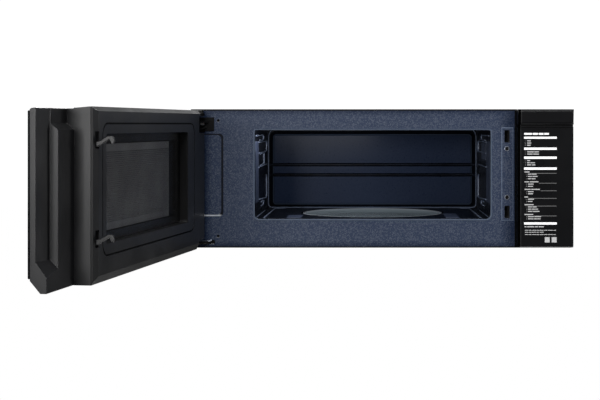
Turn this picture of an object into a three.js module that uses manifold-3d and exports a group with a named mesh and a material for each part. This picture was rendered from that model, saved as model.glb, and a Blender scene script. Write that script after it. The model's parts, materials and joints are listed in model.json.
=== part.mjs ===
// A slim over-the-range microwave oven, standing with its door open.
// Millimetres, +Z up, front of the cabinet towards -Y. While it is modelled, X is 0 in the middle of the
// cabinet, Y is 0 on the face of the front plate and Z is 0 under the cabinet. The last group moves the
// origin to the middle of the wall mounting plate's rear face.
import * as THREE from 'three';
import { mergeVertices } from 'three/addons/utils/BufferGeometryUtils.js';
import Module from 'manifold-3d';

const wasm = await Module();
wasm.setup();

// ---------------------------------------------------------------- driving dimensions
const clearance = 0.3; // gap between neighbouring pieces

// cabinet
const sideBay = 127.3; // left side of the cabinet to the cavity
const cavityWidth = 470.2;
const latchPost = 48.4; // cavity to the right edge of the front plate
const columnGap = 2.2;
const columnWidth = 110.7;
const underCavity = 57.4;
const cavityHeight = 177.1;
const overCavity = 41.7;
const cavityDepth = 363;
const rearSpace = 37; // cavity's back to the wall
const cabinetSheet = 1.2;
const plateSheet = 1.2;
const linerSheet = 1;
const wallPlateSheet = 2;
const wallPlateWidth = 680;
const wallPlateHeight = 210;
const wallPlateHole = 4.5; // radius
const hangerHole = 5.5; // radius of the two bolt holes in the roof
const hangerSpacing = 560;
const hangerSetback = 70;

// front plate
const openingTopRadius = 3;
const openingBottomRadius = 9;
const lipWidth = 3;
const lipHeight = 1.4;
const embossHeight = 0.8;
const stripWidth = 23.7; // raised strip round the latch slots
const stripHeight = 186;
const stripInset = 2.8; // strip to the right edge of the front plate
const slotWidth = 9.9;
const slotHeight = 24.5;
const upperSlotBottom = 210;
const lowerSlotBottom = 59;
const screwSpacing = 97;
const screwShank = 1.7; // radius
const screwHead = 3.3; // radius
const screwHeadHeight = 0.8;
const screwLength = 14;
const plateHole = 2.8; // radius
const plateHoleInset = 54.5;
const plateHoleEdge = 22.8;
const pressedLeft = 15; // rectangle beside the hinge that is pressed back
const pressedRight = 64;
const pressedFoot = 64.2;
const pressedHeight = 162;
const pressedRadius = 8;
const pressedDepth = 0.8;

// cavity
const backRise = 6; // pressed panels on the back wall
const backSlope = 11;
const backMargin = 3;
const beadHeight = 14.5;
const grooveHeight = 8.5;
const beadCentre = 86; // above the cavity floor
const portWidth = 94; // waveguide port in the right wall
const portHeight = 22;
const coverOverlap = 6.5; // waveguide cover beyond its port
const portSetback = 151.5;
const portCentre = 131.5; // above the cavity floor
const coverThickness = 0.8;
const lampHole = 8; // radius
const lampSetback = 167;
const lampCentre = 26; // above the cavity floor
const lampLength = 34;

// turntable
const glassRadius = 149;
const glassThickness = 5;
const glassRise = 13; // foot of the tray to its rim
const glassRimDrop = 1.4; // rim below the cavity floor
const glassFlat = 128; // radius of the flat middle
const turntableSetback = 204;
const wellGap = 4; // round the glass
const rollerRadius = 6.3;
const rollerWidth = 5;
const rollerBore = 2.4; // radius
const axleRadius = 2;
const ringRadius = 92; // middle of the roller ring
const ringWidth = 8;
const ringHeight = 5;
const rollerCount = 3;
const couplerRadius = 20;
const shaftRadius = 4;
const motorRadius = 26;
const motorHeight = 21;

// column
const columnDepth = 30;
const columnWall = 2.5;
const columnFoot = 2.7;
const coverDepth = 42;
const coverHeight = 29.8;
const coverTopGap = 0.5; // cover below the roof
const coverGroove = 3.2; // between the cover and the lower panel
const columnBevel = 3;
const tabLength = 9; // clips that reach into the cabinet

// latch board and switches
const boardDepth = 25.8;
const boardMargin = 6; // past each latch slot
const chamberMargin = 1; // round each slot
const switchDepth = 17;
const switchHeight = 30;
const plungerRadius = 1.6;
const plungerReach = 1.4;
const plungerTravel = 1.5;

// electrics in the right bay
const waveguideDepth = 26;
const waveguideLength = 190;
const waveguideHeight = 44;
const waveguideWall = 1.2;
const magnetronLength = 62;
const magnetronWidth = 80;
const magnetronHeight = 88;
const finCount = 5;
const antennaRadius = 9;
const antennaLength = 18;
const antennaGap = 2; // round the antenna in the waveguide's wall
const magnetronEnd = 5; // magnetron to the waveguide's end
const coreLength = 90;
const coreWidth = 60;
const coreHeight = 76;
const coreSetback = 62;
const coilBulge = 12;
const capacitorWidth = 32;
const capacitorLength = 66;
const capacitorHeight = 90;
const fanSize = 118;
const fanDepth = 30;
const fanHeight = 170; // centre above the base
const fanStandoff = 26; // frame to the rear panel
const fanBlades = 7;
const fanHub = 18; // radius
const fanInset = 10; // frame to the cabinet's side
const fanRim = 4; // frame round the throat
const fanTipGap = 3; // blades to the throat
const fanBar = 5; // half width and depth of the bars behind the rotor
const fanPostInset = 7;
const fanPostRadius = 5;
const bladeTwist = 0.7; // radians
const circuitThickness = 1.6;
const circuitWidth = 92;
const circuitHeight = 200;
const circuitLift = 16; // board above the column's foot
const circuitInset = 4; // board to the column's wall
const circuitPost = 8; // posts in from the board's edges
const relay = { across: 10, up: 20, width: 22, height: 22, depth: 18 };
const supply = { across: 40, up: 90, width: 40, height: 35, depth: 24 };
const chip = { across: 14, up: 140, width: 20, height: 20, depth: 4 };
const choke = { across: 62, up: 40, radius: 13, depth: 18 };
const touchBoardFoot = 60;
const touchBoardHeight = 140;
const touchBoardMargin = 3;
const touchChip = { across: 20, up: 60, width: 16, height: 16, depth: 3 };
const touchPlug = { across: 8, up: 10, width: 32, height: 10, depth: 6 };
const coreInset = 14; // transformer to the cavity's side
const coilInset = 14; // coil inside the core's ends
const coilDrop = 12; // coil below the core's top and above its foot
const capacitorInset = 6; // capacitor to the cabinet's side
const terminalSpacing = 24;
const terminalRadius = 3;
const terminalHeight = 9;
const yokeThickness = 4;
const anodeRadius = 20;
const filterBoxLength = 26;
const filterBoxWidth = 52;
const filterBoxHeight = 60;

// filters and lamps
const charcoalLength = 205;
const charcoalHeight = 24;
const greaseWidth = 150;
const greaseLength = 240;
const greaseThickness = 8;
const greaseRim = 8; // frame round the mesh
const greaseDish = 3; // frame proud of the mesh on each face
const greaseSetback = 60;
const greaseSpacing = 305; // middle to middle
const seatOverlap = 4; // filter or lens over the edge of its hole
const lensWidth = 64;
const lensLength = 36;
const lensThickness = 2.5;
const lensSetback = 14;
const lensInset = 46; // from each side of the cabinet
const lampBodyHeight = 20;

// vent blower in the left bay
const scrollRadius = 57;
const scrollLength = 74;
const scrollWall = 1.5;
const scrollHeight = 78; // axis above the base
const scrollFront = 112; // first scroll behind the front plate
const inletRadius = 38;
const ventWheelRadius = 46;
const ventWheelGap = 6; // wheel to each end wall
const ventBlades = 14;
const ventMotorLength = 84;
const ventMotorRadius = 34;
const ventMotorGap = 5; // motor to each scroll
const ventMotorSeat = 12; // the motor's foot inside its ends
const chimneyReach = 18; // right edge of a scroll's outlet from its axis
const scrollFootWidth = 10;
const scrollFootInset = 14;
const ductWall = 1;
const outletWidth = 254;
const outletLength = 78;
const outletMargin = 8; // blanking plate beyond the outlet
const blankingSheet = 1;

// door, measured closed
const openAngle = 97.9; // degrees
const leafGap = 1.1; // end of the leaf to the plate's right edge
const doorFace = 2.05; // inner face to the front plate
const leafDepth = 34; // front plate to the back of the handle block
const doorDepth = 62.7; // front plate to the front glass
const leafFoot = 2.1;
const leafTopGap = 2.7;
const doorEndGap = 1.8; // free edge to the cabinet's right side
const hingeInset = 8.2; // hinge axis from the cabinet's left side
const hingeReach = 22.2; // hinge axis to the front plate
const coverPlate = 5.6; // depth of the inner face ring
const endBevel = 18.8;
const topBevel = 7;
const footBevel = 12.3;
const hingeBevel = 1.5;
const windowLeft = 122;
const windowWidth = 468;
const windowFoot = 60.5;
const windowHeight = 171;
const windowDepth = 16; // inner face to the window pane
const windowRadius = 5;
const windowRim = 2;
const grooveInset = 18; // groove outside the window
const grooveWidth = 3;
const grooveDepth = 1.2;
const paneThickness = 3;
const paneOverlap = 8;
const frameSheet = 1.2;
const frameEdge = 3.5; // door skin to the steel frame
const screenMargin = 16; // see-through area inside the window
const screenSheet = 0.8;
const skin = 2.5; // plastic wall of the front panel
const frontGlass = 3;
const pocketWidth = 45.2;
const pocketStep = 47; // back of the pocket at its inner edge
const pocketEdge = 50.6; // back of the pocket at the free edge
const pocketFoot = 48;
const pocketLedge = 34; // where the slope under the pocket starts
const pocketLedgeEnd = 25;
const notchFoot = 238.3; // slope above the handle block
const notchTop = 248;
const notchDepth = 45.6;
const panelTopGap = 5.9; // front panel below the cabinet's top
const chinHeight = 21.5;
const chinDepth = 19;
const browBevel = 4;
const hingeNotchWidth = 39.6;
const topNotchHeight = 33;
const bushRadius = 6;
const bushBore = 3.4; // radius
const pinRadius = 3;
const pinEngagement = 24; // length of each bush
const hingeBlock = 42; // width of the solid round each bush

// hinge brackets
const topBracketLeft = 17;
const topBracketWidth = 29.5;
const topBracketHeight = 27.3;
const bracketSheet = 1.4;
const armThickness = 4;
const armHalfWidth = 7.4;
const topArmDrop = 27.2; // from the cabinet's top down to the arm's underside
const topArmRise = 16.3; // above the foot of its bracket
const topArmRoom = 20; // from the notch's foot up to the arm
const footArmHeight = 8.5;
const footArmRoom = 6.6; // from the arm up to the notch's top
const armLip = 2; // arm's root to the notch's inner side
const hingeSlotLeft = 26;
const hingeSlotWidth = 21.5;
const hingeSlotRoom = 1; // slot below the arm
const hingeSlotHeight = 7.8;
const bottomBracketHeight = 36;
const bottomBracketFlange = 6; // bracket left of its arm
const pinHead = 2.5; // beyond the pin's radius
const pinHeadHeight = 2;

// latch key
const hookThickness = 6;
const hookReach = 27.4;
const hookLift = 2; // hook's root above its slot's foot
const lowerHookShift = 1.2; // lower hook above that
const hookRoot = 8.2; // height of the hook at the door's face
const keyWidth = 9;
const keyDepth = 6;
const keyOverrun = 10; // bar past the hooks
const latchSlotWidth = 14.5; // in the door's inner face
const springRadius = 3.6;
const springWall = 0.9;

// ---------------------------------------------------------------- places that follow from them
const plateWidth = sideBay + cavityWidth + latchPost;
const width = plateWidth + columnGap + columnWidth;
const height = underCavity + cavityHeight + overCavity;
const depth = cavityDepth + rearSpace;
const left = -width / 2;
const right = width / 2;
const plateLeft = left + cabinetSheet + clearance;
const plateRight = left + plateWidth;
const plateFoot = cabinetSheet + clearance;
const plateTop = height - cabinetSheet - clearance;
const cavityLeft = left + sideBay;
const cavityRight = cavityLeft + cavityWidth;
const cavityTop = underCavity + cavityHeight;
const linerFront = plateSheet + clearance;
const linerBack = cavityDepth + linerSheet;
const rearFace = depth - wallPlateSheet - clearance;
const rearInside = rearFace - cabinetSheet;
const onBase = cabinetSheet + clearance;
const turntableX = (cavityLeft + cavityRight) / 2;
const glassRim = underCavity - glassRimDrop;
const glassFoot = glassRim - glassRise;
const wellFloor = glassFoot - 2 * rollerRadius - 0.4;
const wellRadius = glassRadius + wellGap;
const axleHeight = glassFoot - rollerRadius - 0.2;
const stripRight = plateRight - stripInset;
const stripLeft = stripRight - stripWidth;
const slotX = (stripLeft + stripRight) / 2 - 0.7;
const stripFoot = (upperSlotBottom + lowerSlotBottom + slotHeight - stripHeight) / 2;
const latchMiddle = (upperSlotBottom + lowerSlotBottom + slotHeight) / 2;
const slotFoots = [upperSlotBottom, lowerSlotBottom];
const screwHeights = [latchMiddle + screwSpacing / 2, latchMiddle - screwSpacing / 2];
const lensCentres = [left + lensInset + lensWidth / 2, right - lensInset - lensWidth / 2];
const columnLeft = plateRight + columnGap;
const columnTop = height - coverTopGap - coverHeight - coverGroove;
const rightBay = cavityRight + linerSheet + clearance;
const hingeX = left + hingeInset;
const hingeY = -hingeReach;
const leafEnd = plateRight - leafGap;
const leafTop = height - leafTopGap;
const doorEnd = right - doorEndGap;
const panelTop = height - panelTopGap;
const pocketStart = doorEnd - pocketWidth;
const glassBack = doorDepth - frontGlass;
const paneFace = doorFace + windowDepth;
const screenFace = paneFace + paneThickness + clearance;
const topArmHeight = height - topArmDrop;
const topBracketFoot = topArmHeight - topArmRise;
const topNotchFoot = topArmHeight - topArmRoom;
const footNotchTop = footArmHeight + armThickness + footArmRoom;
const leafBack = doorFace + coverPlate + clearance;

// ---------------------------------------------------------------- shape helpers
function toSolid(geometry) {
  const bare = geometry.clone();
  bare.deleteAttribute('normal');
  bare.deleteAttribute('uv');
  const merged = mergeVertices(bare, 1e-4);
  return new wasm.Manifold(new wasm.Mesh({
    numProp: 3,
    vertProperties: new Float32Array(merged.attributes.position.array),
    triVerts: new Uint32Array(merged.index.array),
  }));
}

function toGeometry(solid) {
  const mesh = solid.getMesh();
  const geometry = new THREE.BufferGeometry();
  geometry.setAttribute('position', new THREE.BufferAttribute(new Float32Array(mesh.vertProperties), 3));
  geometry.setIndex(new THREE.BufferAttribute(new Uint32Array(mesh.triVerts), 1));
  geometry.computeVertexNormals();
  return geometry;
}

function join(...geometries) {
  return toGeometry(geometries.map(toSolid).reduce((whole, next) => whole.add(next)));
}

function cut(geometry, ...tools) {
  return toGeometry(tools.map(toSolid).reduce((whole, tool) => whole.subtract(tool), toSolid(geometry)));
}

function block(x0, x1, y0, y1, z0, z1) {
  const box = new THREE.BoxGeometry(x1 - x0, y1 - y0, z1 - z0);
  return box.translate((x0 + x1) / 2, (y0 + y1) / 2, (z0 + z1) / 2);
}

// A rod along 'x', 'y' or 'z' from the point (x, y, z), towards + on that axis.
function rod(axis, x, y, z, radius, length, sides = 24) {
  const cylinder = new THREE.CylinderGeometry(radius, radius, length, sides);
  cylinder.translate(0, length / 2, 0);
  if (axis === 'x') cylinder.rotateZ(-Math.PI / 2);
  if (axis === 'z') cylinder.rotateX(Math.PI / 2);
  return cylinder.translate(x, y, z);
}

// A turned piece: [radius, height] points that close on themselves or on the axis, about Z.
function turned(points, sides = 32) {
  const lathe = new THREE.LatheGeometry(points.map(([r, h]) => new THREE.Vector2(r, h)), sides);
  return lathe.rotateX(Math.PI / 2);
}

function extruded(shape, length, arcSteps = 4) {
  return new THREE.ExtrudeGeometry(shape, { depth: length, bevelEnabled: false, curveSegments: arcSteps });
}

// An outline in X and Z, carried along Y from y0 to y1.
function alongY(shape, y0, y1) {
  const turn = new THREE.Matrix4().makeBasis(
    new THREE.Vector3(1, 0, 0), new THREE.Vector3(0, 0, 1), new THREE.Vector3(0, -1, 0));
  return extruded(shape, y1 - y0).applyMatrix4(turn).translate(0, y1, 0);
}

// An outline in Y and Z, carried along X from x0 to x1.
function alongX(points, x0, x1) {
  const turn = new THREE.Matrix4().makeBasis(
    new THREE.Vector3(0, 1, 0), new THREE.Vector3(0, 0, 1), new THREE.Vector3(1, 0, 0));
  return extruded(outline(points), x1 - x0).applyMatrix4(turn).translate(x0, 0, 0);
}

function outline(points) {
  return new THREE.Shape(points.map(([a, b]) => new THREE.Vector2(a, b)));
}

// A rectangle with its own radius at the bottom and the top corners.
function rounded(x0, x1, z0, z1, footRadius, topRadius = footRadius) {
  const shape = new THREE.Shape();
  shape.moveTo(x0 + footRadius, z0);
  shape.absarc(x1 - footRadius, z0 + footRadius, footRadius, -Math.PI / 2, 0);
  shape.absarc(x1 - topRadius, z1 - topRadius, topRadius, 0, Math.PI / 2);
  shape.absarc(x0 + topRadius, z1 - topRadius, topRadius, Math.PI / 2, Math.PI);
  shape.absarc(x0 + footRadius, z0 + footRadius, footRadius, Math.PI, Math.PI * 1.5);
  return shape;
}

const finishes = {
  blackSteel: [0x16171a, 0.55, 0.3],
  blueEnamel: [0x2c3f66, 0.45, 0.1],
  zincSteel: [0x9aa0a6, 0.4, 0.9],
  copper: [0xa05a2c, 0.4, 0.8],
  aluminium: [0xc4c8cc, 0.35, 0.9],
  blackPlastic: [0x0d0e10, 0.45, 0],
  greyPlastic: [0xb9bcc0, 0.6, 0],
  whitePlastic: [0xdedfe0, 0.55, 0],
  blackGlass: [0x050608, 0.08, 0],
  clearGlass: [0xa9b6c2, 0.1, 0],
  mica: [0xb6b4a8, 0.7, 0],
  circuit: [0x1f5a35, 0.6, 0],
  charcoal: [0x202020, 0.95, 0],
};

function piece(name, finish, geometry) {
  const [color, roughness, metalness] = finishes[finish];
  const mesh = new THREE.Mesh(geometry, new THREE.MeshStandardMaterial({ color, roughness, metalness }));
  mesh.name = name;
  return mesh;
}

// ---------------------------------------------------------------- cabinet shells
const outletBack = rearInside - ductWall - 2 * clearance - outletMargin;
const outletFront = outletBack - outletLength;

function outerCabinet() {
  const wrap = block(left, right, 0, rearFace, 0, height);
  const inside = block(left + cabinetSheet, right - cabinetSheet, -1, depth, -1, height - cabinetSheet);
  const outlet = block(-outletWidth / 2, outletWidth / 2, outletFront, outletBack, cavityTop, height + 1);
  const hangers = [-1, 1].map((side) =>
    rod('z', side * hangerSpacing / 2, hangerSetback, cavityTop, hangerHole, overCavity + 1, 16));
  return cut(wrap, inside, outlet, ...hangers);
}

function basePlate() {
  const plate = block(plateLeft, right - cabinetSheet - clearance, 0, rearFace, 0, cabinetSheet);
  const filterHoles = [-1, 1].map((side) =>
    hole(turntableX + side * greaseSpacing / 2, greaseWidth, greaseSetback, greaseLength));
  const lensHoles = lensCentres.map((x) => hole(x, lensWidth, lensSetback, lensLength));
  return cut(plate, ...filterHoles, ...lensHoles);
}

// A hole in the base that leaves an edge for the filter or lens to lie on.
function hole(x, across, front, long) {
  const reach = across / 2 - seatOverlap;
  return block(x - reach, x + reach, front + seatOverlap, front + long - seatOverlap, -1, cabinetSheet + 1);
}

function rearPanel() {
  return block(plateLeft, right - cabinetSheet - clearance, rearInside, rearFace, onBase, plateTop);
}

function wallMountingPlate() {
  const middle = height / 2;
  const plate = block(-wallPlateWidth / 2, wallPlateWidth / 2, depth - wallPlateSheet, depth,
    middle - wallPlateHeight / 2, middle + wallPlateHeight / 2);
  const holes = [];
  for (const across of [-0.42, -0.25, 0.25, 0.42]) {
    for (const up of [-0.36, 0.36]) {
      holes.push(rod('y', across * wallPlateWidth, depth - wallPlateSheet - 1,
        middle + up * wallPlateHeight, wallPlateHole, wallPlateSheet + 2, 12));
    }
  }
  return cut(plate, ...holes);
}

function blankingPlate() {
  const foot = height + clearance;
  return block(-outletWidth / 2 - outletMargin, outletWidth / 2 + outletMargin, outletFront - outletMargin,
    outletBack + outletMargin, foot, foot + blankingSheet);
}

// ---------------------------------------------------------------- front plate and cavity
function frontPlate() {
  const opening = rounded(cavityLeft, cavityRight, underCavity, cavityTop,
    openingBottomRadius, openingTopRadius);
  const lip = rounded(cavityLeft - lipWidth, cavityRight + lipWidth, underCavity - lipWidth,
    cavityTop + lipWidth, openingBottomRadius + lipWidth, openingTopRadius + lipWidth);
  const pressed = (grow) => rounded(left + pressedLeft - grow, left + pressedRight + grow, pressedFoot - grow,
    pressedFoot + pressedHeight + grow, pressedRadius + grow);
  const sheet = join(
    block(plateLeft, plateRight, 0, plateSheet, plateFoot, plateTop),
    alongY(lip, -lipHeight, plateSheet / 2),
    block(stripLeft, stripRight, -embossHeight, plateSheet / 2, stripFoot, stripFoot + stripHeight),
    alongY(pressed(plateSheet), plateSheet / 2, plateSheet + pressedDepth));
  const through = [-lipHeight - 1, plateSheet + 1];
  const latchSlots = slotFoots.map((z) =>
    block(slotX - slotWidth / 2, slotX + slotWidth / 2, ...through, z, z + slotHeight));
  const screwHoles = screwHeights.map((z) =>
    rod('y', slotX, through[0], z, screwShank + clearance, through[1] - through[0], 12));
  const cornerHoles = [plateHoleEdge, height - plateHoleEdge].map((z) =>
    rod('y', left + plateHoleInset, through[0], z, plateHole, through[1] - through[0], 12));
  const hingeSlot = block(left + hingeSlotLeft, left + hingeSlotLeft + hingeSlotWidth, ...through,
    footArmHeight - hingeSlotRoom, footArmHeight - hingeSlotRoom + hingeSlotHeight);
  return cut(sheet, alongY(opening, ...through), alongY(pressed(0), -1, pressedDepth), ...latchSlots,
    ...screwHoles, ...cornerHoles, hingeSlot);
}

// Pressed panels of the back wall: a flat raised field with sloped edges and two grooves beside a bead.
function pressedBack() {
  const field = rounded(cavityLeft + backMargin + backSlope, cavityRight - backMargin - backSlope,
    underCavity + backSlope, cavityTop - backMargin - backSlope, 4);
  const raised = new THREE.ExtrudeGeometry(field, {
    depth: 0.4, bevelThickness: backRise, bevelSize: backSlope - 0.5, bevelSegments: 1, curveSegments: 3 });
  raised.applyMatrix4(new THREE.Matrix4().makeBasis(
    new THREE.Vector3(1, 0, 0), new THREE.Vector3(0, 0, 1), new THREE.Vector3(0, -1, 0)));
  raised.translate(0, cavityDepth + 0.4, 0);
  const grooves = [-1, 1].map((side) => {
    const z = underCavity + beadCentre + side * (beadHeight + grooveHeight) / 2;
    const front = cavityDepth - backRise - 1;
    return alongX([[front, z - grooveHeight / 2], [cavityDepth, z - 1], [cavityDepth, z + 1],
      [front, z + grooveHeight / 2]], cavityLeft + backMargin, cavityRight - backMargin);
  });
  const behind = block(cavityLeft, cavityRight, cavityDepth + linerSheet / 2, cavityDepth + backRise + 2,
    underCavity - backSlope, cavityTop + backSlope);
  return cut(raised, ...grooves, behind);
}

function cavityLiner() {
  const t = linerSheet;
  const shell = join(
    block(cavityLeft - t, cavityRight + t, linerFront, linerBack, underCavity - t, cavityTop + t),
    rod('z', turntableX, turntableSetback, wellFloor - t, wellRadius + t, underCavity - wellFloor, 48));
  const hollow = cut(shell,
    block(cavityLeft, cavityRight, linerFront - 1, cavityDepth, underCavity, cavityTop),
    rod('z', turntableX, turntableSetback, wellFloor, wellRadius, underCavity - wellFloor + 1, 48),
    rod('z', turntableX, turntableSetback, wellFloor - t - 1, shaftRadius + 1, t + 2, 16),
    block(cavityRight - 1, cavityRight + t + 1, portSetback - portWidth / 2, portSetback + portWidth / 2,
      underCavity + portCentre - portHeight / 2, underCavity + portCentre + portHeight / 2),
    rod('x', cavityRight - 1, lampSetback, underCavity + lampCentre, lampHole, t + 2, 16));
  return join(hollow, pressedBack());
}

function waveguideCover() {
  const reachY = portWidth / 2 + coverOverlap;
  const reachZ = portHeight / 2 + coverOverlap;
  const z = underCavity + portCentre;
  return block(cavityRight - clearance - coverThickness, cavityRight - clearance,
    portSetback - reachY, portSetback + reachY, z - reachZ, z + reachZ);
}

// ---------------------------------------------------------------- microwave source in the right bay
const magnetronX = rightBay + waveguideDepth + clearance;
const magnetronY = portSetback - portWidth / 2 + waveguideLength
  - magnetronWidth / 2 - magnetronEnd;
const guideZ = underCavity + portCentre;

function waveguide() {
  const w = waveguideWall;
  const front = portSetback - portWidth / 2 - w;
  const outer = block(rightBay, rightBay + waveguideDepth, front, front + waveguideLength,
    guideZ - waveguideHeight / 2, guideZ + waveguideHeight / 2);
  const inner = block(rightBay + w, rightBay + waveguideDepth - w, front + w, front + waveguideLength - w,
    guideZ - waveguideHeight / 2 + w, guideZ + waveguideHeight / 2 - w);
  const port = block(rightBay - 1, rightBay + w + 1, portSetback - portWidth / 2, portSetback + portWidth / 2,
    guideZ - portHeight / 2, guideZ + portHeight / 2);
  const antennaHole = rod('x', rightBay + waveguideDepth - w - 1, magnetronY, guideZ,
    antennaRadius + antennaGap, w + 2, 20);
  return cut(outer, inner, port, antennaHole);
}

function magnetron() {
  const yoke = yokeThickness;
  const halfWidth = magnetronWidth / 2;
  const halfHeight = magnetronHeight / 2;
  const x1 = magnetronX + magnetronLength;
  const frame = cut(
    block(magnetronX, x1, magnetronY - halfWidth, magnetronY + halfWidth,
      guideZ - halfHeight, guideZ + halfHeight),
    block(magnetronX + yoke, x1 - yoke, magnetronY - halfWidth - 1, magnetronY + halfWidth + 1,
      guideZ - halfHeight + yoke, guideZ + halfHeight - yoke));
  const fins = [];
  for (let i = 1; i <= finCount; i += 1) {
    const x = magnetronX + magnetronLength * i / (finCount + 1);
    fins.push(block(x - 0.5, x + 0.5, magnetronY - halfWidth + yoke, magnetronY + halfWidth - yoke,
      guideZ - halfHeight + 1, guideZ + halfHeight - 1));
  }
  const anode = rod('x', magnetronX + 1, magnetronY, guideZ, anodeRadius, magnetronLength - 2, 20);
  const antenna = rod('x', magnetronX - antennaLength, magnetronY, guideZ, antennaRadius,
    antennaLength + 1, 20);
  const filterBox = block(x1 - 1, x1 + filterBoxLength, magnetronY - filterBoxWidth / 2,
    magnetronY + filterBoxWidth / 2, guideZ - filterBoxHeight / 2, guideZ + filterBoxHeight / 2);
  return join(frame, anode, antenna, filterBox, ...fins);
}

function transformer() {
  const x0 = rightBay + coreInset;
  const z1 = onBase + coreHeight;
  const core = block(x0, x0 + coreLength, coreSetback, coreSetback + coreWidth, onBase, z1);
  const coil = block(x0 + coilInset, x0 + coreLength - coilInset, coreSetback - coilBulge,
    coreSetback + coreWidth + coilBulge, onBase + coilDrop, z1 - coilDrop);
  return join(core, coil);
}

function capacitor() {
  const x1 = right - cabinetSheet - capacitorInset;
  const r = capacitorWidth / 2;
  const shape = new THREE.Shape();
  shape.absarc(x1 - r, coreSetback + r, r, Math.PI, Math.PI * 2);
  shape.absarc(x1 - r, coreSetback + capacitorLength - r, r, 0, Math.PI);
  const can = extruded(shape, capacitorHeight, 8).translate(0, 0, onBase);
  const terminals = [-1, 1].map((side) =>
    rod('z', x1 - r, coreSetback + (capacitorLength + side * terminalSpacing) / 2,
      onBase + capacitorHeight - 1, terminalRadius, terminalHeight, 8));
  return join(can, ...terminals);
}

const fanX = right - cabinetSheet - fanInset - fanSize / 2;
const fanBack = rearInside - clearance - fanStandoff;

function coolingFanFrame() {
  const half = fanSize / 2;
  const body = block(fanX - half, fanX + half, fanBack - fanDepth, fanBack,
    fanHeight - half, fanHeight + half);
  const throat = rod('y', fanX, fanBack - fanDepth - 1, fanHeight, half - fanRim, fanDepth + 2, 32);
  const bar = fanBar;
  const strut = [
    block(fanX - half + 2, fanX + half - 2, fanBack - bar, fanBack, fanHeight - bar, fanHeight + bar),
    block(fanX - bar, fanX + bar, fanBack - bar, fanBack, fanHeight - half + 2, fanHeight + half - 2),
    rod('y', fanX, fanBack - bar, fanHeight, fanHub, bar, 20)];
  const posts = [-1, 1].flatMap((sx) => [-1, 1].map((sz) =>
    rod('y', fanX + sx * (half - fanPostInset), fanBack - 1, fanHeight + sz * (half - fanPostInset),
      fanPostRadius, fanStandoff + 1, 10)));
  const spindle = rod('y', fanX, fanBack - fanDepth + 4, fanHeight, shaftRadius - 1, fanDepth - bar, 16);
  return join(cut(body, throat), ...strut, ...posts, spindle);
}

function coolingFanRotor() {
  const front = fanBack - fanDepth + 2;
  const long = fanDepth - fanBar - 4;
  const tip = fanSize / 2 - fanRim - fanTipGap;
  const blades = [];
  for (let i = 0; i < fanBlades; i += 1) {
    const blade = block(-1, 1, -long / 2 + 3, long / 2 - 3, fanHub - 3, tip);
    blade.rotateZ(bladeTwist);
    blade.rotateY(i * 2 * Math.PI / fanBlades);
    blades.push(blade.translate(fanX, front + long / 2, fanHeight));
  }
  const hub = rod('y', fanX, front, fanHeight, fanHub, long, 20);
  const bore = rod('y', fanX, front + 2 - clearance, fanHeight, shaftRadius - 1 + clearance, long, 16);
  return cut(join(hub, ...blades), bore);
}

const baffleTop = height - cabinetSheet - 2 * clearance - charcoalHeight;

function airBaffle() {
  const shelf = block(rightBay, right - cabinetSheet - clearance, linerFront, rearInside - clearance,
    baffleTop - cabinetSheet, baffleTop);
  const flange = block(rightBay, rightBay + cabinetSheet, linerFront, rearInside - clearance,
    guideZ + waveguideHeight / 2 + 4, baffleTop - cabinetSheet / 2);
  return join(shelf, flange);
}

function charcoalFilter() {
  const x0 = columnLeft + columnWall + circuitInset;
  const x1 = right - cabinetSheet - capacitorInset;
  const z0 = baffleTop + clearance;
  const slab = block(x0, x1, 2, 2 + charcoalLength, z0, z0 + charcoalHeight);
  const ribs = [];
  for (let i = 1; i < 6; i += 1) {
    const y = 2 + charcoalLength * i / 6;
    ribs.push(block(x0 + 5, x1 - 5, y - 12, y + 12, z0 + charcoalHeight - 3, z0 + charcoalHeight + 1));
  }
  return cut(slab, ...ribs);
}

function powerBoard() {
  const x0 = columnLeft + columnWall + circuitInset;
  const y0 = plateSheet + 3;
  const z0 = columnFoot + circuitLift;
  const board = block(x0, x0 + circuitWidth, y0, y0 + circuitThickness, z0, z0 + circuitHeight);
  const back = y0 + circuitThickness - 0.5;
  const boxes = [relay, supply, chip].map((part) => onBoard(part, x0, back, z0));
  const coil = rod('y', x0 + choke.across, back, z0 + choke.up, choke.radius, choke.depth, 16);
  const panelInside = -columnDepth + columnWall + clearance;
  const posts = [circuitPost, circuitWidth - circuitPost].flatMap((dx) =>
    [circuitPost, circuitHeight - circuitPost].map((dz) =>
      rod('y', x0 + dx, panelInside, z0 + dz, 3, y0 - panelInside + 0.5, 8)));
  return join(board, coil, ...boxes, ...posts);
}

// A boxy part on the back of a circuit board whose corner is at (x0, z0).
function onBoard(part, x0, back, z0) {
  return block(x0 + part.across, x0 + part.across + part.width, back, back + part.depth,
    z0 + part.up, z0 + part.up + part.height);
}

// ---------------------------------------------------------------- column in front of the right bay
function columnPanel() {
  const b = columnBevel;
  const d = columnDepth;
  const w = columnWall;
  const face = alongX([[0, columnFoot], [-d + b, columnFoot], [-d, columnFoot + b], [-d, columnTop - b],
    [-d + b, columnTop], [0, columnTop]], columnLeft, right);
  const hollow = block(columnLeft + w, right - w, -d + w, 1, columnFoot + w, columnTop - w);
  const tabs = [0.2, 0.75].map((share) => {
    const z = columnFoot + share * (columnTop - columnFoot);
    return block(columnLeft, columnLeft + w, -1, tabLength, z, z + 20);
  });
  return join(cut(face, hollow), ...tabs);
}

function filterAccessCover() {
  const b = columnBevel;
  const d = coverDepth;
  const w = columnWall;
  const foot = columnTop + coverGroove;
  const top = foot + coverHeight;
  const face = alongX([[0, foot], [-d + b, foot], [-d, foot + b], [-d, top - 1.5 * b],
    [-d + b, top], [0, top]], columnLeft, right);
  const hollow = block(columnLeft + w, right - w, -d + w, 1, foot + w, top - w);
  const tab = block(columnLeft, columnLeft + w, -1, tabLength, foot + 6, top - 6);
  return join(cut(face, hollow), tab);
}

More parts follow.
